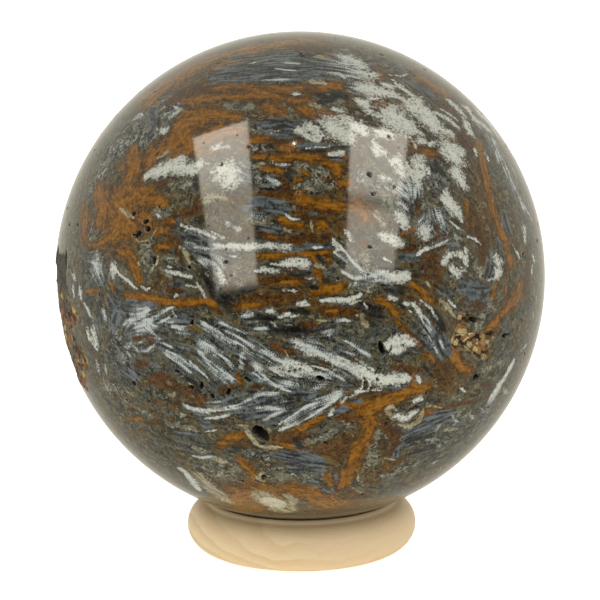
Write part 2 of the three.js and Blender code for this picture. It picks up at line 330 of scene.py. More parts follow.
o 0.59 1.01 -33.6,20.7 -30.7,21.2
r 0.92 0.88 -40.4,26.0 -37.7,24.2 -39.0,22.5
o 0.79 0.9 -37.5,18.6 -33.7,18.5 -30.7,20.1
o 0.95 1.01 -33.8,15.2 -30.1,15.7
y 0.80 0.9 -39.5,15.8 -37.8,16.4
r 1.03 0.77 -30.8,17.9 -28.4,16.3 -28.6,14.5
o 0.50 1.12 -55.7,2.9 -50.8,3.6
o 0.63 0.78 -48.1,3.1 -47.8,0.7
o 0.72 0.9 -46.6,6.0 -45.8,4.5
s 2.17 1 -57.3,21.2 -55.4,18.0 -55.2,15.6
g 1.66 1 -37.0,14.1 -36.0,11.5
k 0.47 0.6 -35.3,14.0 -34.6,11.0
s 0.76 0.9 -46.4,15.5 -43.9,15.3
g 1.17 0.9 -36.6,22.7 -32.5,23.0
w 0.30 0.7 -35.6,22.3 -34.4,21.5
g 0.80 0.8 -42.5,23.8 -41.6,25.0
c 0.58 0.6 -48.1,22.5 -44.6,21.3 -42.3,20.8
c 0.34 0.6 -41.1,17.0 -39.5,15.8 -36.1,16.5 -34.9,18.8
k 0.23 0.7 -36.7,21.1 -35.4,18.4
k 0.18 0.5 -38.9,19.4 -36.4,18.1
w 1.67 0.5 -52.5,10.1 -51.7,8.2
s 1.44 0.6 -52.2,6.3 -49.8,5.3
w 0.89 0.8 -46.4,9.7 -46.1,8.0
w 0.24 1.1 -45.6,9.4 -43.8,8.1 -41.1,7.1 -39.2,6.0 -38.0,5.7
w 0.22 1.1 -37.2,6.4 -35.5,5.7 -34.4,6.5
c 0.29 1 -34.5,10.4 -33.3,11.8 -33.2,13.3
c 0.26 0.7 -38.7,11.5 -37.7,10.7
w 0.34 1 -30.7,10.3 -27.1,9.9 -24.3,9.5
w 0.23 0.6 -31.1,11.3 -29.2,11.1
b 0.41 0.8 -28.9,7.6 -25.0,8.2
w 0.30 0.9 -22.8,8.3 -21.8,6.9 -20.8,5.4
w 0.28 0.7 -25.5,7.7 -23.0,7.4
w 0.28 1 -28.1,4.9 -27.3,5.8
w 0.59 0.6 -63.9,5.9 -61.9,4.6
w 0.56 0.8 -63.0,3.1 -62.3,0.5
w 0.64 0.9 -59.1,3.1 -58.6,0.9
w 0.60 0.6 -57.1,-0.0 -54.6,-2.3 -53.0,-3.2
w 0.52 0.9 -48.9,-0.6 -48.3,-2.1
o 0.84 1.23 -41.8,3.5 -37.9,3.9 -34.6,4.3 -31.3,3.7 -28.0,3.6 -24.4,3.9 -20.8,4.6 -18.3,3.9
r 0.68 0.88 -29.9,6.3 -26.4,6.3
r 0.79 1.1 -39.4,-5.1 -34.8,-5.2 -32.3,-4.5
y 0.79 0.8 -24.6,-1.1 -21.8,-1.8
r 0.58 0.77 -20.1,3.8 -16.9,2.0
k 0.80 0.9 -21.6,11.6 -20.0,8.7 -19.0,5.7
k 0.58 0.7 -19.0,5.7 -16.9,4.1 -14.7,2.5
c 0.59 0.7 -28.0,15.7 -26.1,14.5 -24.9,12.7
k 0.39 0.5 -25.0,13.9 -22.9,12.4
g 0.94 0.6 -31.3,13.0 -27.8,12.5
g 0.80 0.6 -32.4,11.2 -29.1,9.3
w 0.41 1 -28.3,20.4 -25.9,19.9 -22.4,19.1 -19.4,18.1
w 0.22 0.7 -27.6,19.4 -25.2,18.9
b 0.75 1.1 -27.6,18.3 -24.0,17.7 -19.8,17.5
k 0.37 0.8 -26.6,18.2 -23.0,17.7
b 1.12 0.9 -25.8,16.0 -21.8,15.9 -19.3,15.1
w 0.30 0.9 -24.2,15.7 -20.8,15.5
w 0.17 0.8 -26.9,16.8 -23.8,16.6
k 0.30 0.8 -23.6,14.7 -20.2,14.0
w 0.56 0.9 -22.5,13.2 -19.1,12.6
w 0.63 0.9 -19.2,16.4 -14.5,16.4 -10.2,16.5
w 0.30 0.7 -20.3,19.4 -17.2,18.2
k 0.17 0.7 -17.7,18.2 -15.3,17.6
k 0.19 1 -14.2,17.7 -12.3,18.0
k 0.15 0.9 -14.5,16.0 -12.4,16.0
w 0.26 0.6 -16.9,14.6 -13.2,14.1
w 1.17 0.5 -18.2,13.0 -17.1,9.3
g 1.53 0.5 -14.2,11.5 -13.0,8.4
w 0.74 0.4 -17.2,21.7 -13.7,20.1
k 0.30 1 -15.9,25.3 -15.4,24.8
k 0.22 0.6 -17.4,21.7 -16.0,20.4
b 1.92 0.7 -46.0,2.1 -44.0,-0.1 -45.1,-2.1
b 1.31 0.6 -50.9,8.1 -50.2,6.2
b 1.15 0.6 -43.4,2.0 -37.3,2.3 -33.2,2.5
w 0.51 1 -42.6,-3.3 -40.0,-1.4 -37.3,-0.6 -34.8,1.4
w 0.58 1 -40.3,0.1 -36.5,0.6 -35.1,1.6
w 0.95 1.2 -38.6,-3.0 -35.7,-1.8 -34.1,-2.9
w 0.60 1 -36.5,-0.1 -34.6,-1.2 -33.3,-2.4
w 0.30 1 -34.0,-0.2 -31.8,0.6 -29.8,2.2 -28.5,2.7
w 0.30 1 -33.0,-1.9 -30.6,-0.3 -28.3,1.2
w 0.34 1 -28.8,-1.5 -26.8,-1.5 -24.9,-0.9
w 0.23 0.8 -31.9,-0.9 -28.5,-0.6
w 0.26 0.8 -28.5,1.8 -27.8,0.6
b 1.23 0.8 -27.8,1.0 -25.8,0.1
b 0.95 0.6 -40.1,-2.7 -41.3,-5.1
g 0.61 0.6 -42.4,-4.6 -40.6,-4.6
w 0.28 1 -42.6,-7.8 -40.3,-7.1 -39.1,-7.6 -38.7,-8.5
w 0.25 0.9 -38.7,-8.5 -36.0,-7.9 -34.1,-6.3 -32.1,-4.7
w 0.38 0.8 -42.1,-8.9 -41.3,-9.5
w 0.15 0.8 -38.4,-6.4 -36.3,-5.4
b 0.79 0.7 -38.5,-7.5 -36.2,-7.2
w 1.19 0.7 -53.9,-5.9 -53.6,-8.2
w 0.48 0.8 -57.0,-5.7 -56.2,-7.9 -54.3,-9.2 -53.0,-10.4
s 2.53 0.5 -46.4,-4.5 -44.9,-7.7
s 2.68 0.5 -42.5,-12.0 -45.9,-9.5
b 2.28 0.5 -45.5,-13.2 -42.3,-14.7
w 0.60 0.4 -54.8,-12.9 -54.8,-16.6
w 0.44 0.5 -50.9,-12.7 -51.8,-15.8
r 0.71 0.77 -39.9,-11.7 -36.1,-10.7
w 0.21 0.6 -35.6,-11.1 -32.8,-11.0
w 0.23 0.5 -27.9,-2.9 -24.4,-2.9
b 0.61 0.5 -30.9,-6.2 -25.9,-6.3 -22.3,-6.7
w 0.25 0.8 -32.2,-5.6 -29.1,-6.2
w 0.31 0.8 -29.3,-8.0 -26.4,-9.4 -23.6,-11.0
w 0.22 0.7 -30.7,-7.0 -27.8,-8.1
w 0.34 0.9 -24.9,-9.2 -22.9,-10.9 -21.1,-12.6
w 0.21 0.6 -27.1,-6.2 -24.2,-6.9
g 2.25 0.5 -54.6,-19.3 -47.8,-19.1 -47.7,-21.9
c 0.46 0.5 -45.4,-18.6 -42.6,-20.2
k 0.23 0.7 -36.8,-16.0 -37.1,-19.4
r 1.61 1.1 -35.8,-14.4 -32.1,-14.5 -29.3,-15.4
r 1.23 1.1 -27.6,-15.9 -25.5,-17.4 -22.7,-18.4
c 0.59 0.7 -31.8,-18.1 -29.7,-17.1
c 0.31 0.7 -27.9,-13.0 -26.8,-12.7
k 0.61 0.8 -26.1,-13.1 -24.0,-14.3 -23.3,-16.2
c 0.24 0.6 -26.0,-14.0 -24.9,-15.1
g 0.57 0.6 -35.0,-12.2 -32.6,-12.8
o 0.53 1.01 -51.4,-27.5 -43.2,-25.9
r 0.32 0.99 -47.0,-24.2 -44.0,-23.4
r 0.55 0.88 -42.7,-27.0 -35.9,-25.3
r 0.45 0.77 -37.5,-20.4 -34.6,-20.0
g 1.78 0.4 -42.9,-24.0 -39.7,-24.5
w 0.44 1.1 -28.2,-20.0 -26.0,-20.8 -22.9,-21.0 -20.0,-20.5 -16.5,-19.7 -14.0,-19.0
w 0.21 0.8 -22.5,-18.9 -18.9,-18.1
w 0.29 1 -23.3,-22.9 -20.4,-22.6 -16.7,-21.5
g 0.70 0.9 -35.2,-25.2 -33.5,-26.3 -30.8,-25.4
g 0.74 0.9 -29.9,-26.1 -27.7,-26.4 -26.5,-27.1
k 0.28 0.8 -30.8,-25.4 -27.5,-24.7
k 0.26 0.8 -34.7,-25.4 -34.1,-26.1
g 0.95 0.5 -32.9,-22.9 -28.3,-22.6
b 1.47 0.5 -23.9,-22.1 -22.9,-24.7
b 1.39 0.4 -33.3,-28.0 -27.5,-28.4
g 1.28 0.7 -29.0,-32.5 -26.2,-33.1
w 0.41 0.8 -30.7,-35.0 -28.3,-35.3 -24.5,-34.2
b 1.40 0.5 -33.0,-30.9 -30.1,-33.0
c 1.14 0.6 -24.6,-34.5 -21.2,-35.8
r 1.29 0.44 -43.9,-36.0 -41.0,-37.5
y 1.13 0.4 -37.2,-39.6 -33.6,-39.7
w 0.92 1.1 -38.6,-41.0 -37.5,-43.1 -38.0,-46.5 -39.2,-50.0
c 2.57 0.8 -34.1,-43.2 -33.3,-47.4 -31.1,-49.3
c 1.72 0.8 -31.1,-49.3 -30.8,-54.2
g 2.06 0.5 -29.1,-39.7 -26.6,-40.8
w 0.71 1.2 -22.1,-4.5 -19.6,-5.6 -17.6,-6.8
w 0.42 1 -17.6,-6.8 -16.1,-8.1 -14.9,-9.9
w 0.57 1.1 -22.3,-6.9 -20.8,-8.9 -19.2,-10.2
w 0.74 1.2 -19.2,-10.2 -17.5,-11.4 -15.5,-12.7
w 0.25 0.8 -21.7,-8.0 -19.6,-8.8
w 0.46 1 -12.7,-6.6 -13.1,-9.8
w 0.57 1.2 -9.9,-9.2 -8.4,-10.6 -7.2,-12.2
w 0.33 1.1 -7.2,-12.2 -5.3,-13.8 -2.4,-15.0
w 0.31 0.9 -10.4,-10.6 -8.7,-12.4 -7.6,-12.4
w 0.25 0.9 -17.8,0.2 -14.3,-0.9 -11.7,-2.1
w 0.40 0.9 -15.9,-1.6 -13.0,-3.1 -10.0,-4.9
w 0.26 0.8 -18.3,-0.9 -16.1,-3.2 -13.1,-4.6
w 0.24 0.8 -13.9,-3.8 -10.9,-6.1 -8.3,-7.1
b 0.59 0.5 -15.2,-2.3 -11.7,-3.4
b 0.81 0.5 -15.8,-5.8 -12.1,-7.5 -9.7,-8.8
b 0.65 0.6 -21.2,-8.5 -19.0,-12.5
w 0.76 1.2 -4.2,-8.2 -1.4,-8.9 2.2,-10.0
w 0.28 1 -6.2,-7.8 -3.4,-8.2
w 0.57 1.1 -6.4,-9.6 -4.1,-10.9 -0.2,-11.4
w 0.58 1 -4.1,-13.1 -2.2,-13.3
w 0.25 1 2.4,-9.1 5.7,-10.1 7.7,-11.4 9.5,-12.6
b 0.48 0.8 -3.4,-10.0 -0.2,-10.2
b 0.82 0.9 -2.4,-14.2 -0.2,-13.3
w 0.13 0.8 0.3,-12.3 0.9,-14.3
w 0.13 0.7 -1.1,-12.1 -0.4,-13.8
w 0.96 1.3 -0.8,-3.7 1.8,-5.1 4.4,-6.4
w 0.73 1.3 4.4,-6.4 7.2,-8.1 8.9,-9.1
w 0.89 1.2 8.9,-9.1 12.5,-10.4 15.8,-12.3
w 0.88 1.2 15.8,-12.3 18.5,-13.4 20.6,-13.9
w 0.26 0.9 9.5,-3.7 12.4,-5.4 15.1,-7.4
w 0.23 0.8 6.7,-4.7 9.5,-6.2 12.9,-7.7
w 0.28 0.9 11.8,-7.9 14.1,-9.4 16.4,-10.9
w 0.19 0.8 7.6,-7.0 10.7,-8.3
b 0.77 0.9 7.6,-5.6 11.1,-6.7
b 0.45 0.6 13.3,-6.4 15.6,-8.3
b 0.47 0.7 13.9,-10.0 16.7,-11.2
r 0.66 1.21 -6.3,-4.0 -4.2,-5.9 0.3,-5.9
r 0.54 1.1 0.3,-5.9 3.7,-7.3 6.3,-9.5 9.0,-10.9
c 0.17 0.8 -3.5,-5.5 -2.7,-6.8 -3.6,-7.7
o 0.54 1.4 10.7,-8.3 11.6,-8.5
g 0.65 0.6 1.6,-3.3 3.3,-4.2
w 0.20 0.9 12.8,-10.9 13.8,-12.8 13.7,-14.7 12.1,-15.6
w 0.19 0.9 14.4,-11.9 15.5,-13.9 15.1,-15.6
w 0.15 0.8 16.3,-12.5 17.4,-14.5
w 0.22 0.9 11.1,-16.8 13.5,-15.5 18.2,-15.6
w 0.28 0.9 9.1,-18.2 10.6,-16.5
k 0.56 0.5 10.8,-12.2 12.3,-14.2
b 0.78 0.5 9.8,-13.6 11.4,-14.6
w 0.65 1.2 8.9,-15.2 6.7,-16.6 4.5,-17.5
w 0.56 1.1 4.5,-17.5 1.8,-18.7 -0.2,-20.0
w 0.38 1 -0.2,-20.0 -2.3,-21.5 -5.2,-23.4
w 0.43 1.1 8.1,-16.9 4.8,-19.5 1.4,-21.8
w 0.38 1 1.4,-21.8 -2.4,-23.6 -5.1,-25.0
k 0.17 0.7 5.7,-18.3 2.5,-19.7 -0.7,-22.0
b 0.59 0.6 -0.3,-22.3 -3.6,-23.4
w 0.37 1.1 -5.5,-15.7 -8.2,-15.8 -11.8,-17.4 -14.3,-19.0
w 0.25 0.7 -8.7,-16.5 -6.9,-16.2
w 0.40 1 -10.1,-19.6 -6.8,-19.2 -4.8,-19.7
w 0.38 1.1 -8.7,-22.4 -5.8,-20.8 -3.7,-19.7
w 0.17 0.8 -5.4,-17.9 -3.1,-17.4
w 0.17 0.7 -3.4,-19.4 -1.4,-18.7
w 0.21 0.7 2.5,-13.8 5.5,-13.4
w 0.34 0.8 2.0,-15.2 4.2,-14.3
b 1.95 0.7 -11.6,-18.4 -7.0,-17.7
b 1.97 0.7 -13.1,-21.3 -8.3,-20.8 -3.6,-18.4
b 1.29 0.6 -7.3,-23.5 -2.5,-20.7
b 1.01 0.6 -18.2,-18.3 -15.7,-17.1
r 0.46 0.88 -20.2,-21.3 -16.9,-21.3
o 0.52 1.01 -13.8,-11.5 -13.3,-14.0
r 0.79 0.88 -15.4,-14.4 -17.9,-15.5
r 0.62 0.66 -11.3,-14.4 -8.6,-13.9
n 1.08 0.6 -11.4,-15.2 -3.6,-16.2
c 0.21 0.5 -16.0,-14.9 -16.7,-13.3
b 1.18 0.5 3.7,-10.5 6.4,-12.0
c 0.34 0.9 -15.6,-24.1 -12.9,-24.2
c 0.50 1.3 -13.3,-24.8 -12.4,-27.3 -10.9,-29.6
c 0.48 1.1 -10.9,-29.9 -8.4,-30.4 -5.1,-30.0
c 0.26 0.6 -7.9,-24.6 -6.8,-26.2
o 0.87 1.12 -19.9,-29.0 -17.2,-27.6 -14.3,-27.1 -12.7,-28.2
o 0.63 1.4 -21.0,-30.0 -18.8,-29.8
o 0.65 1.23 -6.2,-28.2 -4.3,-29.4 -2.3,-30.2 0.2,-31.5
o 1.03 1.12 0.2,-32.1 1.5,-32.8
k 0.66 0.5 -17.8,-30.3 -14.2,-30.7
r 1.31 0.66 -17.2,-30.0 -13.5,-29.7
w 0.23 0.6 -24.2,-26.8 -21.1,-25.9
o 1.50 1.4 29.3,-16.5 25.5,-16.8 22.6,-17.7 19.4,-18.2
o 1.77 1.34 19.4,-18.2 16.9,-19.2 15.2,-20.9
o 1.09 1.34 15.2,-21.4 16.8,-23.9 16.5,-27.0
o 1.45 1.34 16.1,-27.8 14.6,-30.9 14.3,-35.4
o 1.48 1.12 14.4,-36.1 13.7,-40.8 12.0,-44.3
o 0.87 1.12 15.0,-18.8 10.7,-18.8 8.9,-18.2
r 1.01 1.1 8.9,-18.2 5.7,-20.6 2.6,-23.1
o 1.00 1.12 4.8,-21.6 1.1,-23.9 -1.7,-25.3
r 1.24 0.99 -0.3,-26.7 -3.7,-27.3
r 1.31 0.88 9.5,-21.5 13.0,-22.8
r 2.14 0.77 7.7,-29.9 12.3,-29.5
r 1.57 0.88 4.3,-31.6 9.1,-33.1
g 0.99 1 1.7,-28.2 5.1,-27.7 7.9,-25.5
g 0.73 0.9 10.1,-22.9 13.2,-24.4
w 0.40 0.9 6.7,-21.4 7.3,-19.9
b 0.77 0.8 8.0,-20.4 10.1,-19.5
b 0.64 0.7 11.6,-17.6 13.9,-18.0
g 0.79 0.8 2.7,-30.3 6.8,-30.7
k 1.01 0.6 -1.3,-27.9 -0.3,-29.9
b 1.93 1 -4.5,-32.8 0.7,-33.7 4.5,-35.5
b 1.41 0.9 -1.5,-36.8 4.0,-37.6
s 1.44 0.7 -13.4,-32.2 -8.7,-33.2
n 2.38 0.6 -17.1,-32.1 -10.6,-34.9
g 2.43 0.9 -8.0,-40.6 -1.6,-41.3
g 1.78 0.9 0.7,-39.7 5.3,-39.1
g 2.33 0.7 -6.7,-44.3 0.8,-45.1
b 0.89 0.6 1.9,-41.3 5.0,-43.0
y 1.00 0.7 5.4,-33.2 9.3,-35.4
o 0.78 1.12 7.6,-39.2 9.4,-44.1
o 0.88 1.12 12.1,-38.8 12.8,-43.5
b 0.54 0.9 9.6,-39.7 10.1,-42.5
b 0.89 0.7 7.2,-45.7 9.5,-46.4
c 0.31 0.7 15.8,-38.4 17.5,-43.2
g 3.33 0.9 -23.8,-38.9 -20.5,-40.0 -17.0,-42.8
o 1.01 1.01 -16.5,-34.3 -14.6,-37.3 -13.7,-40.9
c 0.56 0.9 -11.2,-38.9 -12.9,-41.3 -11.2,-42.0
c 0.43 0.6 -8.1,-36.9 -5.3,-36.8
r 0.63 0.77 -22.9,-38.1 -20.2,-37.4
o 3.97 1.12 -27.1,-52.9 -19.4,-50.0 -12.9,-46.4
o 2.57 1.01 -29.9,-60.4 -19.2,-56.7
o 1.64 0.9 -12.5,-45.0 -9.6,-46.7 -7.7,-50.6
c 2.54 1.5 -13.4,-49.4 -10.3,-52.5 -7.2,-56.3
c 0.92 0.9 -5.5,-47.9 -2.3,-50.5 -4.4,-53.5
b 1.00 0.7 -1.0,-52.2 2.4,-54.1
k 0.77 0.6 -0.6,-53.4 1.7,-54.1
o 3.27 0.84 -2.4,-46.0 4.1,-48.0 11.4,-52.8
r 3.00 0.66 13.7,-56.4 17.9,-51.9
g 1.29 0.5 13.9,-55.7 18.4,-57.0
n 3.43 0.6 -0.8,-61.2 20.2,-63.7
g 1.17 1.1 18.0,-30.6 19.2,-34.6 20.2,-37.1
g 1.02 1 19.1,-27.2 18.5,-29.5
k 0.25 0.8 18.1,-31.3 19.2,-30.2
k 0.34 0.8 21.8,-45.9 24.8,-46.8
c 0.40 0.5 16.1,-45.2 20.9,-48.6
s 2.48 0.6 15.8,31.0 20.2,29.4 24.9,28.6
w 0.64 0.6 20.2,31.7 23.2,30.6
w 1.09 1 26.4,35.0 27.6,33.4
w 0.60 0.9 29.4,34.3 29.6,31.6 30.3,28.7
w 0.43 0.7 29.4,28.8 29.0,26.7
r 1.46 0.44 24.2,40.4 26.2,37.7
s 1.01 0.4 29.2,38.5 29.9,37.5
w 0.63 0.8 17.9,43.6 19.9,42.2
w 0.78 0.9 25.3,43.5 28.1,41.7
w 0.81 0.6 22.2,38.4 23.7,37.3
w 2.29 1.3 30.9,46.9 32.6,45.0 34.0,43.3
w 0.87 1 29.2,47.8 31.0,46.6
w 1.81 1.2 45.1,49.5 45.0,47.1 45.6,44.7
w 1.12 1.1 45.6,44.7 45.9,42.4
w 0.88 1 45.6,42.1 49.0,41.0 50.5,39.7
w 0.87 1 42.6,50.3 42.5,48.2
w 0.97 1 33.0,54.6 36.6,53.0 39.7,51.2
w 0.74 0.9 36.1,56.5 38.7,55.3
w 0.52 1 42.9,57.5 43.1,54.6 44.9,52.1
w 0.44 0.9 45.1,55.2 45.1,51.4 44.9,50.2
w 0.62 1 50.3,46.0 53.4,44.0 55.6,41.2
w 0.43 0.8 53.9,46.9 56.7,44.5 57.8,43.0
w 1.03 0.9 63.0,48.6 63.9,46.3 64.5,43.8
w 0.60 0.8 68.9,47.3 70.8,45.2
w 1.03 0.9 60.5,41.5 60.0,39.3
w 0.69 0.8 61.6,43.2 62.8,41.6
w 1.12 0.7 68.4,42.4 71.5,40.6 74.9,38.2
w 0.56 0.5 76.2,42.8 86.7,39.4
g 2.72 1.1 44.6,36.8 46.3,35.4
w 1.16 1 47.3,36.6 49.7,35.3
w 0.78 0.8 43.1,34.9 46.1,33.6
w 0.59 1 35.8,39.4 38.2,39.2
w 0.48 0.9 38.9,38.1 41.1,38.4
w 0.65 0.8 35.9,42.3 38.6,41.3
w 0.36 0.8 34.0,38.7 34.2,37.9
w 1.04 1.1 42.9,31.2 44.2,29.2 45.2,27.2
w 0.44 1 57.0,35.6 55.8,33.7
w 0.54 0.8 68.7,33.7 65.7,31.2
w 0.54 0.7 61.0,34.1 60.2,32.1
w 0.51 0.8 73.5,28.4 72.7,25.5
w 0.51 0.7 69.3,24.7 67.9,23.2
w 0.51 0.6 67.2,29.2 67.2,27.2
w 0.66 0.9 33.4,35.2 34.4,32.7 35.1,31.4
s 2.40 1 37.2,33.0 38.2,30.4
k 1.09 0.8 38.3,33.1 39.3,31.3
s 1.61 0.8 34.7,28.4 37.7,26.7
g 0.73 0.6 31.8,30.5 33.3,28.0
o 0.92 1.01 31.1,50.5 32.6,49.1
o 0.83 1.12 38.8,50.3 38.4,48.2
r 0.77 0.99 35.9,44.8 39.3,43.2 43.0,43.4
o 0.51 1.01 28.7,42.8 31.8,41.5 34.3,41.1
o 1.22 1.12 33.5,40.3 33.9,37.4 37.3,36.2 41.5,35.8
y 0.50 0.9 36.2,35.5 37.6,34.9
o 2.15 1.01 62.7,56.0 63.7,53.3 65.5,51.4
o 0.97 0.56 58.6,58.3 69.6,57.7
r 2.02 0.88 59.2,48.3 58.8,44.6 57.5,41.3 55.0,37.9
r 2.29 0.88 55.4,37.4 56.8,35.9
o 0.86 0.9 46.0,39.3 50.5,38.4
o 1.17 1.34 61.3,37.3 58.0,33.7 55.7,30.1 54.4,27.1 53.5,24.1
o 0.98 0.9 48.2,33.2 48.9,31.4
r 0.87 0.77 41.8,33.0 42.7,31.0
k 0.58 0.7 41.3,51.7 44.9,48.6
k 0.51 0.7 38.6,47.0 42.2,42.7
k 0.58 0.6 49.2,44.1 52.9,40.9
b 1.72 0.7 51.1,55.5 53.2,52.5 53.8,50.1
b 1.11 0.5 57.0,54.2 56.1,51.9
n 1.32 0.5 43.8,26.6 46.8,23.9
w 0.66 1 19.3,18.5 20.4,18.0
w 0.86 1.1 20.8,17.6 22.4,16.6
w 0.84 1.2 24.2,22.8 24.5,20.2
w 0.54 1 23.7,25.3 26.3,23.8
w 1.20 1.2 29.5,19.1 29.8,18.2
g 0.69 0.9 30.5,25.0 30.8,24.1
c 0.24 0.9 27.7,25.0 28.7,26.5
g 1.89 0.7 21.6,26.1 22.9,22.5
r 0.43 0.99 29.2,25.6 28.6,22.1
r 0.83 0.55 21.5,21.9 22.4,20.1
o 0.75 1.23 23.1,18.1 25.8,19.2 29.0,20.3
r 0.64 0.99 21.7,15.1 25.2,15.1 28.3,16.8
b 0.63 1.1 22.3,13.4 24.9,13.4 27.2,13.4
y 0.56 1 21.7,12.1 24.3,11.7
r 1.13 0.88 28.6,12.7 32.8,12.3
r 0.56 1.1 27.1,10.9 32.5,10.4
k 0.30 1 18.1,11.5 21.1,11.1 23.7,10.5 26.1,10.3
w 0.93 1.2 17.5,10.1 20.5,9.4 24.1,9.4
w 0.30 1 27.6,14.5 30.3,14.9 32.2,15.2 35.2,16.0
w 0.34 0.8 26.7,13.7 28.1,14.2
w 0.59 1.1 33.2,11.4 35.4,12.9 37.8,13.1
w 0.69 1.1 37.8,13.1 39.6,11.8 40.0,10.4
w 0.46 0.9 40.1,13.9 40.6,12.1
w 0.87 0.8 35.5,10.0 36.8,8.6
w 0.28 0.8 37.8,9.8 39.7,8.9
g 1.09 1 43.0,9.6 44.6,7.2
w 0.59 1 36.7,25.0 38.3,23.5 40.0,21.2 40.9,20.0
w 0.52 0.9 38.9,25.0 40.1,23.0 41.1,21.4
w 0.48 0.9 34.5,22.0 34.8,20.2
w 0.26 0.8 36.9,20.2 39.1,18.4 40.7,17.6
w 0.26 0.9 41.3,16.2 43.7,15.5 45.3,14.0
s 1.29 0.6 35.4,17.9 38.4,15.8
b 0.97 0.5 35.3,15.3 38.1,14.6
o 0.74 1.12 44.0,24.2 43.0,21.2
r 0.71 0.99 38.7,20.9 41.7,19.5 42.9,17.3
r 1.44 0.99 44.4,21.9 45.3,17.3 45.9,13.7 45.6,11.0
r 0.68 0.88 45.6,11.0 44.1,10.1
r 1.13 0.66 30.6,16.6 36.2,16.5
r 0.69 1.1 33.9,22.1 32.9,17.3
o 0.96 1.23 53.7,24.3 53.0,22.1 52.7,20.0
o 1.06 1.23 54.0,19.2 53.4,16.3 54.6,13.9 55.2,11.7
o 0.83 1.01 55.5,9.9 55.5,8.1
o 0.65 1.12 50.6,6.6 48.8,4.6 46.9,1.8
o 0.64 0.9 52.6,3.6 52.5,1.2
o 1.26 1.23 58.9,2.8 57.3,0.4 53.3,-0.8 51.0,-2.4
o 1.02 1.34 51.0,-2.4 48.5,-3.6 46.1,-4.8
r 1.46 0.88 64.7,10.1 63.6,4.6 61.5,1.5
w 0.77 0.9 68.1,21.5 69.0,19.4
w 0.73 1 66.0,15.6 64.5,12.4
w 0.51 0.8 70.8,19.4 73.4,15.7
w 0.35 0.6 57.7,12.3 60.0,8.8
w 0.51 0.8 68.2,8.2 68.5,7.0
w 0.51 0.7 66.6,6.1 66.3,4.8
w 0.43 0.6 69.1,-1.7 69.3,-3.1
w 0.51 0.8 67.3,-4.6 68.8,-6.5
w 1.12 0.9 49.9,10.9 50.6,8.6 49.1,6.6
b 1.52 0.9 48.2,9.8 47.3,6.8
w 0.34 0.7 46.1,5.9 47.9,6.3
b 0.76 0.8 52.1,14.2 51.0,12.1
b 1.33 0.8 56.9,19.3 57.0,16.0
b 1.94 0.8 39.1,5.7 44.9,4.1 40.7,3.1
k 0.44 0.7 46.5,8.7 44.8,6.1
b 0.98 0.6 32.6,5.6 35.0,4.0
k 0.32 0.8 30.4,7.1 32.6,4.9
k 0.29 0.7 32.0,7.8 34.0,5.4
w 0.24 0.8 33.8,3.3 36.0,1.3
r 0.56 0.77 27.0,9.2 32.1,8.5
o 0.66 1.23 24.2,8.3 26.8,6.2 27.9,4.5 29.7,3.7
c 0.29 0.9 28.4,7.9 29.3,6.6
o 0.75 1.23 17.7,4.7 19.3,3.3
o 0.64 1.34 19.7,2.6 21.1,1.2
k 0.58 0.8 21.4,4.5 22.8,2.6
o 0.57 1.12 21.1,-0.1 23.5,-2.5 24.7,-4.1 26.8,-6.1
c 0.17 0.8 20.2,8.2 22.7,7.8
k 1.12 0.7 18.3,7.5 22.4,6.1
w 0.45 0.7 19.3,5.2 20.7,4.7
w 0.39 0.9 22.8,3.7 25.2,3.1 26.6,1.2 27.6,-1.5
w 0.28 0.8 26.1,1.9 27.8,-0.0 28.8,-1.9
w 0.28 0.8 26.7,4.0 29.3,1.8 30.9,-0.6
w 0.19 0.8 23.7,2.1 24.6,1.6
k 0.93 0.9 29.3,1.6 31.1,-0.4 32.8,-2.8
b 1.76 1.2 29.2,-3.7 31.3,-5.5 33.2,-8.0
k 0.63 0.7 30.7,-3.9 32.0,-6.7
w 0.20 0.8 30.1,-6.0 31.3,-8.2
w 0.21 0.7 31.9,-5.3 33.1,-7.5
w 0.20 0.8 27.6,-2.4 29.2,-4.4 29.8,-6.5
w 0.35 0.7 27.6,-0.9 29.1,-2.8
w 0.98 1.1 19.1,-5.4 20.9,-4.2 23.1,-4.6 25.0,-5.5
w 0.73 1 20.1,-6.6 22.9,-6.2
b 0.61 0.8 20.6,-7.8 25.9,-7.4
c 0.90 0.6 31.7,3.3 34.3,1.2
c 0.29 1 34.1,1.1 35.7,-0.9
y 0.99 0.5 30.6,2.3 32.7,0.3
r 1.14 0.77 38.3,2.1 43.8,0.7
g 1.29 0.7 44.2,-1.8 42.7,-3.6
g 0.80 0.6 45.8,0.8 48.3,-0.4
g 0.76 0.5 40.1,-2.8 43.4,-4.2
o 1.03 1.23 34.3,-8.6 36.9,-9.0 37.8,-11.0
o 0.56 1.01 28.2,-8.1 30.4,-9.5
r 1.61 0.77 32.0,-11.3 34.2,-14.5
n 0.77 0.6 23.7,-0.5 25.6,-2.9
n 1.63 0.5 50.3,-3.4 55.9,-10.2
r 0.60 0.55 48.0,-5.6 50.9,-7.2
g 2.69 0.5 14.1,13.9 14.7,8.7
w 0.28 1 8.7,16.9 11.2,13.4 12.7,11.8 14.1,10.2
w 0.26 0.9 7.5,15.4 10.3,13.0
w 0.37 1 9.3,11.1 11.9,9.5 14.8,9.8 17.3,9.4
w 0.71 1 15.5,9.8 18.0,9.8
w 0.48 0.7 11.8,8.4 15.6,8.7
k 0.23 1 8.5,17.7 10.9,15.9
g 1.11 0.7 10.7,8.1 15.5,6.8
w 0.45 0.8 7.6,18.0 8.4,15.8
o 1.59 1.12 13.3,24.7 15.6,23.3
r 1.16 0.55 13.5,17.7 14.8,16.4
c 1.22 0.4 18.0,23.2 19.5,20.5
w 0.57 0.5 10.5,19.8 11.7,17.4
k 0.20 0.8 16.0,26.4 19.4,25.3
k 0.20 0.7 18.0,19.7 18.9,19.0
w 0.38 0.5 18.5,13.6 20.5,12.6
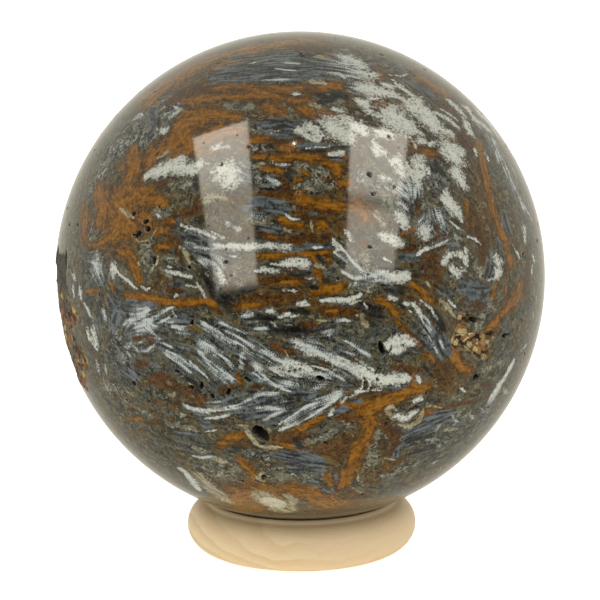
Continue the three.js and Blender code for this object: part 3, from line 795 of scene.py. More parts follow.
w 0.89 1.2 18.9,-12.7 21.6,-13.5 23.6,-13.9
w 0.64 1.3 22.9,-12.6 24.3,-13.7
b 0.42 0.8 19.8,-15.0 24.0,-15.4
r 0.59 1.1 20.3,-10.1 23.5,-11.1 27.6,-12.0
w 0.39 0.8 26.7,-13.0 27.7,-14.6
k 0.77 0.5 28.2,-10.9 30.7,-13.5
o 0.68 1.23 25.6,-12.5 26.2,-14.9 28.2,-15.9 31.0,-16.5
r 1.64 0.88 32.7,-12.4 34.7,-15.5
o 0.86 1.12 35.3,-9.4 37.4,-12.1 42.0,-14.2
c 0.47 1.1 21.2,-19.8 20.4,-21.1 22.2,-23.1 24.8,-23.9
c 0.30 1 20.0,-20.2 21.4,-19.9 22.9,-21.3
w 0.74 0.9 22.9,-22.6 25.8,-23.5 28.2,-22.2
c 0.51 1.1 24.5,-25.0 27.3,-26.2 29.7,-24.9 30.1,-22.2
o 0.32 1.4 24.6,-24.5 25.3,-24.8
o 0.47 1.4 28.1,-25.2 29.5,-25.1
w 0.59 0.8 27.0,-19.2 28.5,-18.9
c 0.32 0.6 30.2,-21.4 32.4,-21.2 35.7,-22.3
k 0.52 0.6 29.7,-19.3 34.4,-20.2
b 1.30 1 32.6,-24.7 35.2,-24.3 38.4,-24.6
b 1.85 1 28.0,-30.4 29.6,-28.2 33.5,-26.5 36.9,-25.7
k 0.89 0.8 27.7,-30.3 32.0,-29.8
k 0.77 0.6 31.8,-34.4 35.1,-34.3
b 0.81 0.8 26.4,-32.6 26.0,-34.8
c 0.31 0.6 22.8,-35.0 26.9,-36.3
g 0.77 0.5 21.3,-27.4 24.2,-32.0
r 1.44 0.88 23.2,-26.5 24.0,-31.3 25.7,-34.7
r 1.14 0.77 20.1,-24.0 22.4,-27.6
r 1.46 0.66 28.4,-36.8 24.5,-38.0
o 0.65 0.78 23.5,-37.1 26.1,-38.9
g 1.21 0.7 25.3,-41.4 28.5,-42.4
n 5.15 0.7 30.7,-46.1 36.1,-43.8
r 0.46 1.1 32.6,-22.8 36.6,-22.4 39.9,-21.9 45.3,-22.3
o 0.80 0.9 30.3,-22.8 32.4,-22.3
g 0.82 0.8 38.1,-19.5 41.8,-20.7
g 1.32 0.7 40.7,-24.4 47.1,-26.2
w 0.48 0.5 47.3,-26.5 49.6,-27.5
w 0.28 0.6 50.3,-24.9 55.8,-27.2
w 0.35 0.6 40.0,-25.1 42.8,-27.3 41.5,-28.8
g 1.00 0.5 54.0,-26.2 61.0,-28.9
c 0.84 0.5 39.5,-29.0 44.0,-29.3
k 0.20 0.6 39.4,-29.6 44.0,-32.3
s 1.62 0.5 34.8,-31.1 42.8,-33.9
g 0.79 0.8 45.2,-15.0 49.0,-14.2 53.3,-13.8
k 0.74 0.7 43.3,-16.6 45.7,-15.3
k 0.19 0.5 42.2,-17.2 44.8,-18.6
r 1.02 0.44 47.5,-18.1 53.1,-19.7
r 0.80 0.55 44.9,-22.3 50.3,-22.3
w 0.77 1 59.9,-14.6 58.3,-17.2 56.7,-19.4
w 1.20 1 56.7,-19.4 55.1,-21.4 54.0,-23.8
c 0.60 0.7 58.9,-21.7 64.0,-23.8
k 0.29 0.7 58.3,-20.2 62.2,-22.1
w 0.59 0.5 62.5,-13.1 65.8,-12.1
k 0.43 0.8 40.7,-39.5 46.2,-38.6 51.8,-38.5
k 0.77 0.7 51.1,-40.1 53.6,-38.3
k 0.43 0.8 60.9,-33.6 62.3,-31.8
k 0.43 0.7 46.9,-34.4 49.1,-34.0
c 0.64 0.8 42.5,-40.2 43.3,-39.7
w 0.31 0.7 39.8,-17.8 42.2,-19.2
c 0.48 0.5 36.9,-27.1 36.2,-28.4
r 1.72 0.39 46.8,-42.3 53.1,-41.6
g 1.69 0.4 30.1,-40.3 36.2,-38.6
f 0.02 1 -90.7,38.7 -91.5,42.7 -92.5,47.1
f 0.43 1 -72.9,21.3 -71.3,14.4 -71.0,8.7
f 0.43 1 -67.4,26.9 -67.5,20.9 -66.0,14.1 -64.7,8.5
f 0.43 1 -61.2,-0.0 -59.2,-6.6 -56.8,-13.3 -54.3,-20.3
f 0.43 1 -56.9,-26.1 -51.3,-30.7 -44.7,-35.5 -36.5,-40.2
f 0.02 1 -41.6,-68.4 -17.4,-73.0 14.6,-73.2 40.2,-68.9
f 0.43 1 43.6,-47.2 51.5,-41.2 57.3,-32.8
f 0.43 1 60.0,-24.8 66.7,-18.5 70.5,-9.4
f 0.43 1 73.3,-2.9 74.4,3.9 77.7,12.7
f 0.43 1 78.4,19.8 78.8,28.5 77.2,36.8
f 0.43 1 88.5,46.2 93.5,55.0 79.7,63.0
f 0.43 1 74.4,70.2 65.6,76.9 48.7,83.4
f 0.34 1 -50.3,1.7 -49.3,-4.9 -47.9,-11.7
f 0.33 1 -44.2,-32.3 -35.7,-33.2 -27.8,-33.3
f 0.23 1 -31.8,-19.1 -26.4,-19.0 -21.2,-18.8
f 0.23 1 6.9,-25.2 10.3,-22.1 13.8,-21.3
f 0.30 1 25.8,-29.7 30.9,-27.6 39.8,-26.2
C 5.15 1 -47.0,-3.4 -22.1,-2.9 -8.3,-4.4
C 5.39 1 -45.3,-12.5 -19.4,-14.2 -0.2,-17.2
C 3.80 1 3.7,-2.2 13.2,-4.8
C 7.21 0.8 36.4,-33.0 58.8,-31.6
C 8.16 0.9 -35.2,65.8 11.0,62.0
C 4.45 0.8 -55.8,7.6 -47.4,2.1
C 4.44 0.8 -0.4,-35.7 5.4,-41.4
C 5.83 0.7 -22.2,-38.7 -16.1,-44.0
C 4.00 0.8 26.3,26.9 34.1,19.6
C 2.63 0.8 10.9,13.2 16.5,8.6
C 3.00 0.7 -28.0,17.2 -18.9,13.4
C 7.72 0.6 71.9,33.3 68.6,21.2
C 3.18 0.7 29.1,-2.8 31.9,-6.5
H 4.93 1 -53.1,22.7 -42.4,17.0 -38.3,24.1
H 5.59 1 -43.2,48.0 -32.6,53.3 -13.5,52.9
H 4.42 1 -11.4,38.5 9.5,35.9 9.3,22.2 -8.1,23.5
H 3.35 1 -11.9,5.6 6.3,5.2
H 3.89 1 31.9,-5.3 36.7,-15.3
H 3.91 1 14.0,-18.2 17.9,-28.8 14.1,-40.1
H 4.83 0.9 2.2,-30.9 23.1,-39.2
H 8.58 0.9 -22.4,-46.9 13.0,-54.2
H 5.53 0.8 51.2,28.2 52.9,8.5
H 6.51 0.8 52.3,49.9 53.2,38.1
H 3.36 1 18.4,5.7 29.1,3.8
H 2.56 0.8 30.1,16.7 35.2,11.4
H 6.01 0.8 -74.3,69.7 1.4,75.7
H 3.32 0.8 -31.2,40.3 -17.5,42.2
H 3.71 0.7 26.4,42.9 27.1,37.6
H 3.77 0.7 -36.8,-16.0 -23.6,-17.7
D 2.26 1 -10.3,2.5 1.6,-0.2
D 1.89 0.8 -17.0,5.4 -12.9,4.3
D 1.80 1 -21.1,10.8 -18.8,4.9
D 1.67 0.8 14.1,3.6 16.8,2.2
D 2.47 0.8 8.3,52.3 14.8,52.1
D 2.75 0.8 -11.3,44.8 -2.7,43.2
D 1.90 0.7 27.9,-2.7 33.3,-6.6
D 4.08 0.6 -42.0,-28.9 -27.5,-32.6
D 4.29 0.6 -2.3,69.3 7.0,68.7
D 1.67 0.7 -9.9,18.9 -8.5,18.0
D 2.26 0.6 19.6,6.7 22.8,4.3
D 2.54 0.6 40.4,33.2 41.6,30.4
D 2.82 0.6 38.1,45.5 42.0,42.4
o 2.26 0.9 -29.8,40.2 -25.2,42.5 -18.6,43.8
o 1.14 0.78 -29.1,37.4 -24.7,38.1
o 1.74 0.9 -50.5,22.7 -44.4,25.7 -38.9,25.7
o 1.16 0.9 -42.8,22.2 -37.1,20.4 -33.7,18.5
w 0.60 1.1 23.3,42.8 26.8,41.8
w 0.58 1 21.4,40.3 22.1,37.9 22.5,36.7
w 0.67 1 25.2,28.9 27.1,26.7
w 0.51 1 18.1,18.8 19.6,17.4
o 2.57 1.1 -62.9,48.3 -63.1,52.3 -61.6,56.7 -59.6,60.9 -55.8,65.6
r 2.94 0.9 -48.7,51.4 -39.6,55.3 -25.9,58.8
r 3.43 0.8 -43.6,70.5 -15.0,73.7 16.1,72.3
o 1.72 0.9 -43.1,65.4 -35.5,70.9 -13.9,74.4
r 2.02 0.8 -10.8,53.9 0.4,55.0 8.8,54.8
H 7.72 1 -54.7,50.3 -49.5,59.5 -35.4,66.7
H 4.67 1 -31.9,55.0 0.4,54.0 12.3,56.1
H 2.59 0.8 16.9,57.0 17.6,48.4
H 4.02 0.8 30.3,49.9 37.9,48.5
w 1.32 1.2 -39.0,31.6 -35.9,33.3 -32.1,33.5 -28.5,33.0
w 2.56 1.3 30.5,45.7 33.1,44.2
w 2.05 1.15 41.9,48.5 44.3,45.6 45.4,42.4
w 2.21 1.15 45.5,36.0 46.5,34.6
w 1.37 0.75 27.1,32.2 28.3,28.9
w 0.87 0.9 31.9,34.8 31.7,31.0 29.0,26.5
w 1.20 0.8 33.7,34.7 33.6,31.8
w 1.16 1 44.4,31.3 44.5,28.4
w 1.29 0.8 38.1,26.0 39.2,22.5
w 0.84 0.9 24.5,22.8 24.7,20.1
w 0.95 0.7 34.2,22.0 34.6,19.3
w 1.72 0.6 79.8,43.3 81.8,40.0 79.5,36.8
w 1.50 0.55 70.7,35.4 69.0,32.1
w 1.29 0.5 68.6,29.1 67.6,24.2
w 1.29 0.6 72.5,45.4 69.1,40.9
w 1.70 1.05 25.2,65.0 32.7,65.5
w 1.87 0.95 25.6,61.6 31.9,60.5
w 1.63 1.1 23.8,55.7 30.9,54.7 34.5,52.8
w 0.88 0.9 22.2,50.6 23.9,48.1
w 1.66 1.1 9.2,43.6 13.8,42.4
w 0.90 0.8 2.0,42.7 4.8,41.6
w 0.97 0.9 23.6,42.0 27.2,41.3
w 0.78 0.8 21.1,38.5 21.7,36.9
g 1.65 0.8 10.5,49.8 14.3,50.9
s 2.19 0.8 8.3,52.3 13.6,50.9
k 1.13 0.7 7.8,53.6 12.8,52.8
o 1.53 1.05 0.4,49.9 5.6,48.7 11.3,47.4
o 1.16 1 9.2,56.2 15.9,56.7
o 0.82 1.1 40.0,62.5 39.8,60.0 36.4,57.2
o 1.12 0.8 28.3,51.6 27.4,47.9
y 1.07 0.7 19.0,53.2 19.1,50.1
o 1.99 1.1 -52.6,35.6 -48.4,32.0 -48.7,29.0
o 1.88 1.05 -44.8,36.8 -43.1,33.4 -42.7,30.5
o 1.52 1.15 -40.1,43.0 -34.2,40.2 -29.6,37.9
o 1.33 1.1 -41.2,46.9 -36.1,46.1 -31.3,45.8
H 4.05 1 -42.9,33.2 -34.5,42.8
r 1.48 0.7 -40.4,49.7 -31.4,49.3
b 1.27 0.8 -58.2,46.8 -50.2,44.0 -49.3,40.7
k 0.65 0.8 -50.6,45.1 -46.6,42.6
w 0.32 0.8 -45.5,42.4 -43.4,41.1
w 0.35 0.8 -47.3,48.9 -43.4,47.4
C 5.70 0.8 -70.1,41.2 -51.9,46.8
o 2.20 1 -60.6,25.8 -54.6,22.3 -54.3,18.6
o 1.75 0.9 -45.2,22.8 -46.0,19.6
y 1.44 0.8 -51.1,26.4 -46.8,24.5
o 1.72 0.8 -61.0,19.6 -60.6,15.5
C 4.61 0.9 -34.7,-3.0 -19.4,-14.2
b 1.29 0.6 -32.2,-6.1 -28.2,-7.2
b 1.24 0.6 -23.0,-3.6 -17.2,-6.4
w 0.81 0.6 -21.5,-0.5 -18.8,-2.0 -14.8,-4.5
w 0.70 0.5 -30.8,-7.5 -28.4,-9.6 -25.2,-11.6
b 1.45 0.7 -11.1,-10.6 -4.6,-13.5
w 0.79 0.7 -8.3,-5.6 -1.9,-10.5
w 0.81 0.6 -0.2,-10.5 6.4,-12.0
b 1.70 0.5 -2.4,-15.2 6.5,-16.8
w 0.57 0.5 6.3,-6.9 11.2,-10.8
C 3.36 0.8 8.6,-12.6 -0.2,-17.2
k 0.61 0.6 -14.0,-7.1 -10.6,-8.3
C 3.11 0.7 -14.1,33.6 -7.8,30.9
b 1.34 0.7 -11.3,25.6 -3.4,24.6
s 1.17 0.7 -12.5,31.7 -8.3,30.4
g 1.24 0.8 0.2,34.2 4.8,33.2
g 1.00 0.7 0.1,30.0 5.5,29.0
C 2.61 0.7 -10.4,23.4 -2.2,19.2
b 0.94 0.6 -8.6,20.6 -2.2,19.8
D 5.72 0.5 -22.2,-38.7 5.4,-41.4
D 4.10 0.5 12.1,-28.3 33.6,-34.0
D 3.08 0.45 -54.4,1.1 -40.3,3.0
D 4.59 0.5 -48.6,-27.2 -29.4,-29.8
"""

strokes = []
for line in STROKES.strip().splitlines():
    q = line.split()
    ll = np.array([[float(v) for v in s.split(",")] for s in q[3:]])
    strokes.append([q[0], float(q[1]), float(q[2]), unit(ll[:, 0], ll[:, 1])])


def turned(axis, angle):
    a = np.array(axis, float); a /= np.linalg.norm(a); c, s = math.cos(angle), math.sin(angle)
    x, y, z = a
    return np.array([[c + x * x * (1 - c), x * y * (1 - c) - z * s, x * z * (1 - c) + y * s],
                     [y * x * (1 - c) + z * s, c + y * y * (1 - c), y * z * (1 - c) - x * s],
                     [z * x * (1 - c) - y * s, z * y * (1 - c) + x * s, c + z * z * (1 - c)]])


# The far side: the same sorts of veins, thrown differently: mirrored, turned and shuffled stroke by stroke.
FRONT = unit(0.0, 8.0)
spin = turned((0.15, 0.3, 1.0), math.radians(171)) @ np.diag([-1.0, 1.0, 1.0])
back = []
SWAP = {"w": "wwwwcb", "o": "ooory", "r": "rro", "b": "bbbw", "k": "kkb", "g": "gsg", "s": "sgs", "c": "ccw", "y": "yo", "n": "n", "f": "f", "C": "CCH", "H": "HHC", "D": "D"}
for cls, hw, st, pts in strokes:
    m = pts.mean(0); m /= np.linalg.norm(m)
    jig = turned(rng.normal(size=3), math.radians(float(rng.uniform(0, 7))))
    q = pts @ (spin @ jig).T
    mid = q.mean(0); mid /= np.linalg.norm(mid)
    if mid @ FRONT > 0.03:
        continue
    near = (q @ FRONT).max()
    if near > 0.10:
        continue
    alt = SWAP[cls][int(rng.integers(len(SWAP[cls])))]
    back.append([alt, hw * float(rng.uniform(0.8, 1.3)), st * float(rng.uniform(0.75, 1.05)), q])
strokes += back


# ------------------------------------------------------------------ hollows: the solid's own, and finer ones
# lon, lat, half size along and across in mm, turn from east in degrees, depth in mm
PITS = [(-9.9, -26.5, 2.05, 1.45, -62, 3.0), (17.8, -5.8, 1.5, .55, -66, 1.9), (4.3, -12.2, 1.05, .6, -25, 1.6),
        (27.3, -21.5, 1.85, .5, 17, 1.5), (-11, -40.5, .75, .55, 70, .9), (-16.5, -15.8, .95, .45, 66, 1.1),
        (-22.8, -14.7, .95, .45, 71, 1.0), (-11.8, -12.5, .85, .45, -34, .9), (-37.4, 18.9, .72, .58, 0, 1.4),
        (-40.1, 17.4, 1.1, .52, 36, 1.3), (-34.2, 12.4, .85, .45, -88, 1.0), (44.4, -16.1, 1.0, .75, -51, 1.2),
        (-141, -20, 1.3, .9, 40, 1.1),
        (-20.5, -17, .57, .50, 13, 1.1), (-42.9, 21.8, .6, .48, 0, 1.0), (-24, -.3, .57, .39, 66, 1.1),
        (-28.5, -11.8, .62, .4, -3, 1.0), (-42, -16.5, .75, .42, 26, 1.0), (-38.4, 20.5, .73, .44, 22, 1.0),
        (-25.4, -15.3, .66, .49, 29, 1.0), (-25, 11.6, .47, .38, 0, .9), (62.1, 9.3, .72, .43, 12, .9),
        (53.1, -7.5, 1.33, .52, -7, 1.1), (41.6, -2.1, 1.03, .51, -20, 2.0), (2.3, 69.8, .81, .69, -47, .9),
        (-68.7, 7.7, 2.23, .8, -74, 1.0)]
# depth, roughness, edge, power, wobble scale, then lobes
POCKETS = [("gold", 1.35, .5, .9, 2.0, [(38.9, -1.5, 2.4, 1.2, -4), (37.8, -3.8, 1.9, 1.6, -33), (37.5, -6.5, 2.4, 1.7, -19),
                                        (42.1, -7.2, 4.6, 2.0, -14), (44.5, -9.7, 2.8, 1.7, -20), (46.4, -6.6, 2.6, 1.2, -8)]),
           ("scar", .5, .26, .5, 2.6, [(-79, -8.5, 14.2, 13.4, 0)]),
           ("chip", .38, .2, .5, 2.0, [(-10.4, -52.6, 2.9, 2.2, -40)]),
           ("gold", .9, .4, .8, 2.0, [(158, 14, 3.4, 1.7, 25), (154, 11, 2.0, 1.8, 0)])]

# small seeded pinholes, scattered at random away from the poles
pin = []
for i in range(210):
    n = rng.normal(size=3); n /= np.linalg.norm(n)
    if abs(n[2]) > 0.93:
        continue
    lon, lat = math.degrees(math.atan2(n[0], -n[1])), math.degrees(math.asin(n[2]))
    s = float(rng.uniform(.16, .34))
    pin.append((lon, lat, s * float(rng.uniform(1, 1.7)), s, float(rng.uniform(-90, 90)), float(rng.uniform(.25, .5))))


def local(n, lon, lat, turn):
    c = unit(np.float64(lon), np.float64(lat)); e, u = east_north(c)
    cosang = np.clip(n @ c, -1, 1)
    s = R_MM * np.arccos(cosang)
    v = n - cosang[:, None] * c; v /= np.linalg.norm(v, axis=1, keepdims=True) + 1e-12
    x, y = s * (v @ e), s * (v @ u); t = math.radians(turn)
    return x * math.cos(t) + y * math.sin(t), -x * math.sin(t) + y * math.cos(t)


def near(n, lon, lat, mm):
    return np.nonzero(n @ unit(np.float64(lon), np.float64(lat)) > math.cos(min(mm / R_MM, 3.1)))[0]


def hollows(n, want=False):
    """Depth in mm at the directions n, with how deep into a pit each is (0..1) and how far into gold / scar / chip."""
    depth = np.zeros(len(n)); pit = np.zeros(len(n)); kinds = {k: np.zeros(len(n)) for k in ("gold", "scar", "chip")}
    rim = np.full(len(n), 9.0)
    for lon, lat, a, b, turn, deep in PITS + pin:
        i = near(n, lon, lat, a * 1.8 + 1.2)
        if not len(i):
            continue
        x, y = local(n[i], lon, lat, turn)
        q = np.hypot(x / a, y / b)
        size = math.sqrt(a * b)
        p = n[i] * R_MM
        q = q * (1 + .14 * (noise(p * .9 / size, 5) * 2 - 1) + .08 * (noise(p * 2.3 / size, 6) * 2 - 1))
        d = np.where(q < 1, deep * np.sqrt(np.clip(1 - q ** 3, 0, 1)), 0)
        depth[i] = np.maximum(depth[i], d)
        pit[i] = np.maximum(pit[i], fade((1.12 - q) / .34))
        rim[i] = np.minimum(rim[i], (q - 1) * size)
    for kind, deep, rough, edge, power, lobes in POCKETS:
        i = near(n, np.mean([l[0] for l in lobes]), np.mean([l[1] for l in lobes]), max(max(l[2], l[3]) for l in lobes) * 1.3 + 6)
        if not len(i):
            continue
        p = n[i] * R_MM
        best = np.full(len(i), 9.0); size = 1.0
        for lon, lat, a, b, turn in lobes:
            x, y = local(n[i], lon, lat, turn)
            q = (np.abs(x / a) ** power + np.abs(y / b) ** power) ** (1 / power)
            s = math.sqrt(a * b)
            q = q * (1 + .14 * (noise(p * .9 / min(s, 3.0), 7) * 2 - 1) + .06 * (noise(p * 2.3 / min(s, 3.0), 8) * 2 - 1))
            size = np.where(q < best, s, size); best = np.minimum(best, q)
        q = best
        step = np.clip((1 - q) * size / edge, 0, 1); f = fade(step)
        grit = .7 * (noise(p * .75, 11) * 2 - 1) + .5 * (noise(p * 1.6, 12) * 2 - 1) + .35 * (noise(p * 3.1, 13) * 2 - 1)
        d = np.where(q < 1, deep * (.55 * f + .45 * (1 - q * q)) + rough * f * grit, 0)
        depth[i] = np.maximum(depth[i], np.clip(d, 0, None))
        kinds[kind][i] = np.maximum(kinds[kind][i], fade((1.04 - q) * size / (edge * .7)))
        rim[i] = np.minimum(rim[i], np.abs(q - 1) * size)
    return depth, pit, kinds, rim


# ------------------------------------------------------------------ the ball's mesh: fine where it is looked at
thin = [(hw, pts) for cls, hw, st, pts in strokes if hw < .42 and cls in "wckobr"]
EYE = unit(0.0, 10.4)


def seg_dist(p, pts):
    """Distance in mm from points p (on the ball) to a line, and how far along it (0..1) the nearest place is."""
    P = pts * R_MM; L = np.linalg.norm(np.diff(P, axis=0), axis=1); tot = L.sum() + 1e-9; run = 0.0
    best = np.full(len(p), 1e9); at = np.zeros(len(p))
    for k in range(len(P) - 1):
        d = P[k + 1] - P[k]; t = np.clip(((p - P[k]) @ d) / (d @ d + 1e-12), 0, 1)
        dist = np.linalg.norm(p - P[k] - t[:, None] * d, axis=1)
        w = dist < best
        best = np.where(w, dist, best); at = np.where(w, (run + t * L[k]) / tot, at); run += L[k]
    return best, at


def around(n, pts, reach):
    m = pts.mean(0); m /= np.linalg.norm(m)
    rad = np.arccos(np.clip(pts @ m, -1, 1)).max() + reach / R_MM
    return np.nonzero(n @ m > math.cos(min(rad, 3.1)))[0]


def wanted(n):
    """Longest edge wanted at the directions n, mm."""
    c = n @ EYE
    h = np.interp(-c, [-1, -.80, -.45, -.12, .05, .4, 1], [.78, .82, 1.0, 1.3, 1.8, 2.0, 2.1])
    for hw, pts in thin:
        i = around(n, pts, .75)
        if len(i):
            d, _ = seg_dist(n[i] * R_MM, pts)
            fine = np.where(c[i] > .25, FINE, 1.0)
            h[i] = np.minimum(h[i], np.where(d < hw + .22, fine, 9))
    _, pit, kinds, rim = hollows(n)
    h = np.minimum(h, np.interp(rim, [-9, -.6, -.15, .25, .9], [.34, .34, .26, .30, 9]) * np.where(c > -.15, 1, 2))
    for k, v in (("gold", .36), ("scar", .62), ("chip", .36)):
        h = np.where(kinds[k] > .5, np.minimum(h, v * np.where(c > -.25, 1, 1.8)), h)
    return h


FINE = .46


def icosphere(detail):
    t = (1 + 5 ** .5) / 2
    v = np.array([[-1, t, 0], [1, t, 0], [-1, -t, 0], [1, -t, 0], [0, -1, t], [0, 1, t], [0, -1, -t], [0, 1, -t], [t, 0, -1], [t, 0, 1], [-t, 0, -1], [-t, 0, 1]], float)
    f = np.array([[0, 11, 5], [0, 5, 1], [0, 1, 7], [0, 7, 10], [0, 10, 11], [1, 5, 9], [5, 11, 4], [11, 10, 2], [10, 7, 6], [7, 1, 8],
                  [3, 9, 4], [3, 4, 2], [3, 2, 6], [3, 6, 8], [3, 8, 9], [4, 9, 5], [2, 4, 11], [6, 2, 10], [8, 6, 7], [9, 8, 1]])
    v /= np.linalg.norm(v, axis=1, keepdims=True)
    for _ in range(detail):
        e = np.sort(np.concatenate([f[:, [0, 1]], f[:, [1, 2]], f[:, [2, 0]]]), axis=1)
        u, inv = np.unique(e, axis=0, return_inverse=True); inv = inv.reshape(3, -1) + len(v)
        m = v[u].sum(1); m /= np.linalg.norm(m, axis=1, keepdims=True)
        v = np.concatenate([v, m]); a, b, c = inv
        f = np.concatenate([np.stack([f[:, 0], a, c], 1), np.stack([f[:, 1], b, a], 1), np.stack([f[:, 2], c, b], 1), np.stack([a, b, c], 1)])
    return v, f


V, F = icosphere(4)
MOST = 194000
for turn_no in range(16):
    E = np.stack([F[:, [1, 2]], F[:, [2, 0]], F[:, [0, 1]]], 1)          # edge k lies opposite corner k
    lo, hi = E.min(2), E.max(2)
    key = lo.astype(np.int64) * len(V) + hi
    u, inv = np.unique(key, return_inverse=True); inv = inv.reshape(-1, 3)
    ua, ub = u // len(V), u % len(V)
    L = np.linalg.norm(V[ua] - V[ub], axis=1) * R_MM
    mid = V[ua] + V[ub]; mid /= np.linalg.norm(mid, axis=1, keepdims=True)
    need_by = L / wanted(mid)
    rank = L * (1 + 1e-7 * ((u * 2654435761 % 1000003) / 1000003.0))
    longest = rank[inv].argmax(1); rows = np.arange(len(F)); limit = 1.0
    while True:                                # each split edge adds two faces: keep within the face budget
        mark = need_by > limit
        while True:
            need = mark[inv].any(1) & ~mark[inv[rows, longest]]
            if not need.any():
                break
            mark[inv[rows[need], longest[need]]] = True
        if len(F) + 2 * mark.sum() <= MOST:
            break
        limit *= 1.06
    if not mark.any():
        break
    new = np.full(len(u), -1); new[mark] = len(V) + np.arange(mark.sum())
    V = np.concatenate([V, mid[mark]])
    # turn each face so that its longest edge joins its first two corners
    k = (longest + 1) % 3
    A = F[rows, k]; B = F[rows, (k + 1) % 3]; C = F[rows, longest]
    ab = new[inv[rows, longest]]; bc = new[inv[rows, k]]; ca = new[inv[rows, (k + 1) % 3]]
    out = [np.stack([A, B, C], 1)[ab < 0]]
    g = ab >= 0
    m1 = g & (ca < 0); out.append(np.stack([A, ab, C], 1)[m1])
    m2 = g & (ca >= 0); out.append(np.stack([A, ab, ca], 1)[m2]); out.append(np.stack([ab, C, ca], 1)[m2])
    m3 = g & (bc < 0); out.append(np.stack([ab, B, C], 1)[m3])
    m4 = g & (bc >= 0); out.append(np.stack([ab, B, bc], 1)[m4]); out.append(np.stack([ab, bc, C], 1)[m4])
    F = np.concatenate(out)
    if limit > 1.0:
        break
print("ball:", len(V), "corners", len(F), "faces, rounds", turn_no)

P = V * R_MM
depth, pit, kinds, rim = hollows(V)

# ------------------------------------------------------------------ pattern fields at the corners
CLS = "wobrkcgsy"
field = {c: np.full(len(V), -2.0 if c == "w" else -1.0) for c in CLS}
tones = {c: np.zeros(len(V)) for c in "CHD"}
T = np.zeros((len(V), 3, 3)); Tw = np.zeros(len(V))
for cls, hw, st, pts in strokes:
    if cls in CLS:
        low = 3.2 if cls == "w" else 2.1
        i = around(V, pts, hw * low)
        if len(i):
            d, at = seg_dist(P[i], pts)
            long = np.linalg.norm(pts[-1] - pts[0]) * R_MM > hw * 3
            w = hw * (.62 + .42 * np.sqrt(np.clip(np.sin(np.pi * np.clip(at, .02, .98)), 0, 1))) if long else hw
            s = min(st, 1.0) - d / w + max(st - 1.0, 0.0) * np.clip(1 - d / w, 0, 1)
            field[cls][i] = np.maximum(field[cls][i], s)
    if cls in "CHD":
        i = around(V, pts, hw * 2.6)
        d, _ = seg_dist(P[i], pts)
        tones[cls][i] = np.maximum(tones[cls][i], st * np.exp(-(d / hw) ** 2))
    if cls in "wobrkfycgsn":
        reach = 5.5
        i = around(V, pts, reach)
        if not len(i) or len(pts) < 2:
            continue
        run = np.linalg.norm(np.diff(pts, axis=0), axis=1).sum() * R_MM
        if run < 1.2 * hw and cls not in "f":
            continue
        d0 = P[i]
        best = np.full(len(i), 1e9); dirs = np.zeros((len(i), 3)); Q = pts * R_MM
        for k in range(len(Q) - 1):
            e = Q[k + 1] - Q[k]; t = np.clip(((d0 - Q[k]) @ e) / (e @ e + 1e-12), 0, 1)
            dist = np.linalg.norm(d0 - Q[k] - t[:, None] * e, axis=1); b = dist < best
            best[b] = dist[b]; dirs[b] = e / (np.linalg.norm(e) + 1e-12)
        wt = np.exp(-(np.maximum(best - hw * .6, 0) / (1.1 if cls == "w" else 1.8)) ** 2) * {"w": 3.0, "k": 1.6, "b": 1.5, "f": 1.2}.get(cls, .8) * min(run / 4, 1.5)
        T[i] += wt[:, None, None] * dirs[:, :, None] * dirs[:, None, :]
        Tw[i] += wt
# an easy slope where nothing was laid: down to the right
e, nth = east_north(V)
easy = e * .88 - nth * .30
T += .02 * easy[:, :, None] * easy[:, None, :]
_, vec = np.linalg.eigh(T)
flow = vec[:, :, 2]
flow -= V * (flow * V).sum(1)[:, None]
flow /= np.linalg.norm(flow, axis=1, keepdims=True) + 1e-9
flow *= np.where((flow * easy).sum(1) < 0, -1.0, 1.0)[:, None]

pos = V * (R_MM - depth)[:, None] / 1000 + BALL


def make_mesh(name, verts, faces, smooth=True):
    me = bpy.data.meshes.new(name)
    me.vertices.add(len(verts)); me.vertices.foreach_set("co", np.asarray(verts, np.float32).ravel())
    k = faces.shape[1]
    me.loops.add(len(faces) * k); me.loops.foreach_set("vertex_index", faces.astype(np.int32).ravel())
    me.polygons.add(len(faces))
    me.polygons.foreach_set("loop_start", np.arange(0, len(faces) * k, k, dtype=np.int32))
    me.polygons.foreach_set("use_smooth", np.full(len(faces), smooth))
    me.update(calc_edges=True); me.validate()
    ob = bpy.data.objects.new(name, me); bpy.context.scene.collection.objects.link(ob)
    return ob


# outward facing
a, b, c = V[F[:, 0]], V[F[:, 1]], V[F[:, 2]]
inward = (np.cross(b - a, c - a) * (a + b + c)).sum(1) < 0
F[inward] = F[inward][:, [0, 2, 1]]
ball = make_mesh("polished_stone_ball", pos, F)


def attr(me, name, arr):
    at = me.attributes.new(name, "FLOAT_VECTOR", "POINT"); at.data.foreach_set("vector", np.asarray(arr, np.float32).ravel())


clip = lambda x: np.clip(x, -2, 1.4)
attr(ball.data, "veins_a", np.stack([clip(field["w"]), clip(field["o"]), clip(field["b"])], 1))
attr(ball.data, "veins_b", np.stack([clip(field["r"]), clip(field["k"]), clip(field["c"])], 1))
attr(ball.data, "veins_c", np.stack([clip(field["g"]), clip(field["s"]), clip(field["y"])], 1))
attr(ball.data, "drifts", np.stack([tones[c] for c in "CHD"], 1))
attr(ball.data, "grain", flow)
attr(ball.data, "hollow", np.stack([pit, kinds["gold"], np.maximum(kinds["scar"], 0)], 1))
attr(ball.data, "hollow_b", np.stack([kinds["chip"], np.clip(depth / 1.2, 0, 1), fade(1 - np.abs(rim) / .45)], 1))


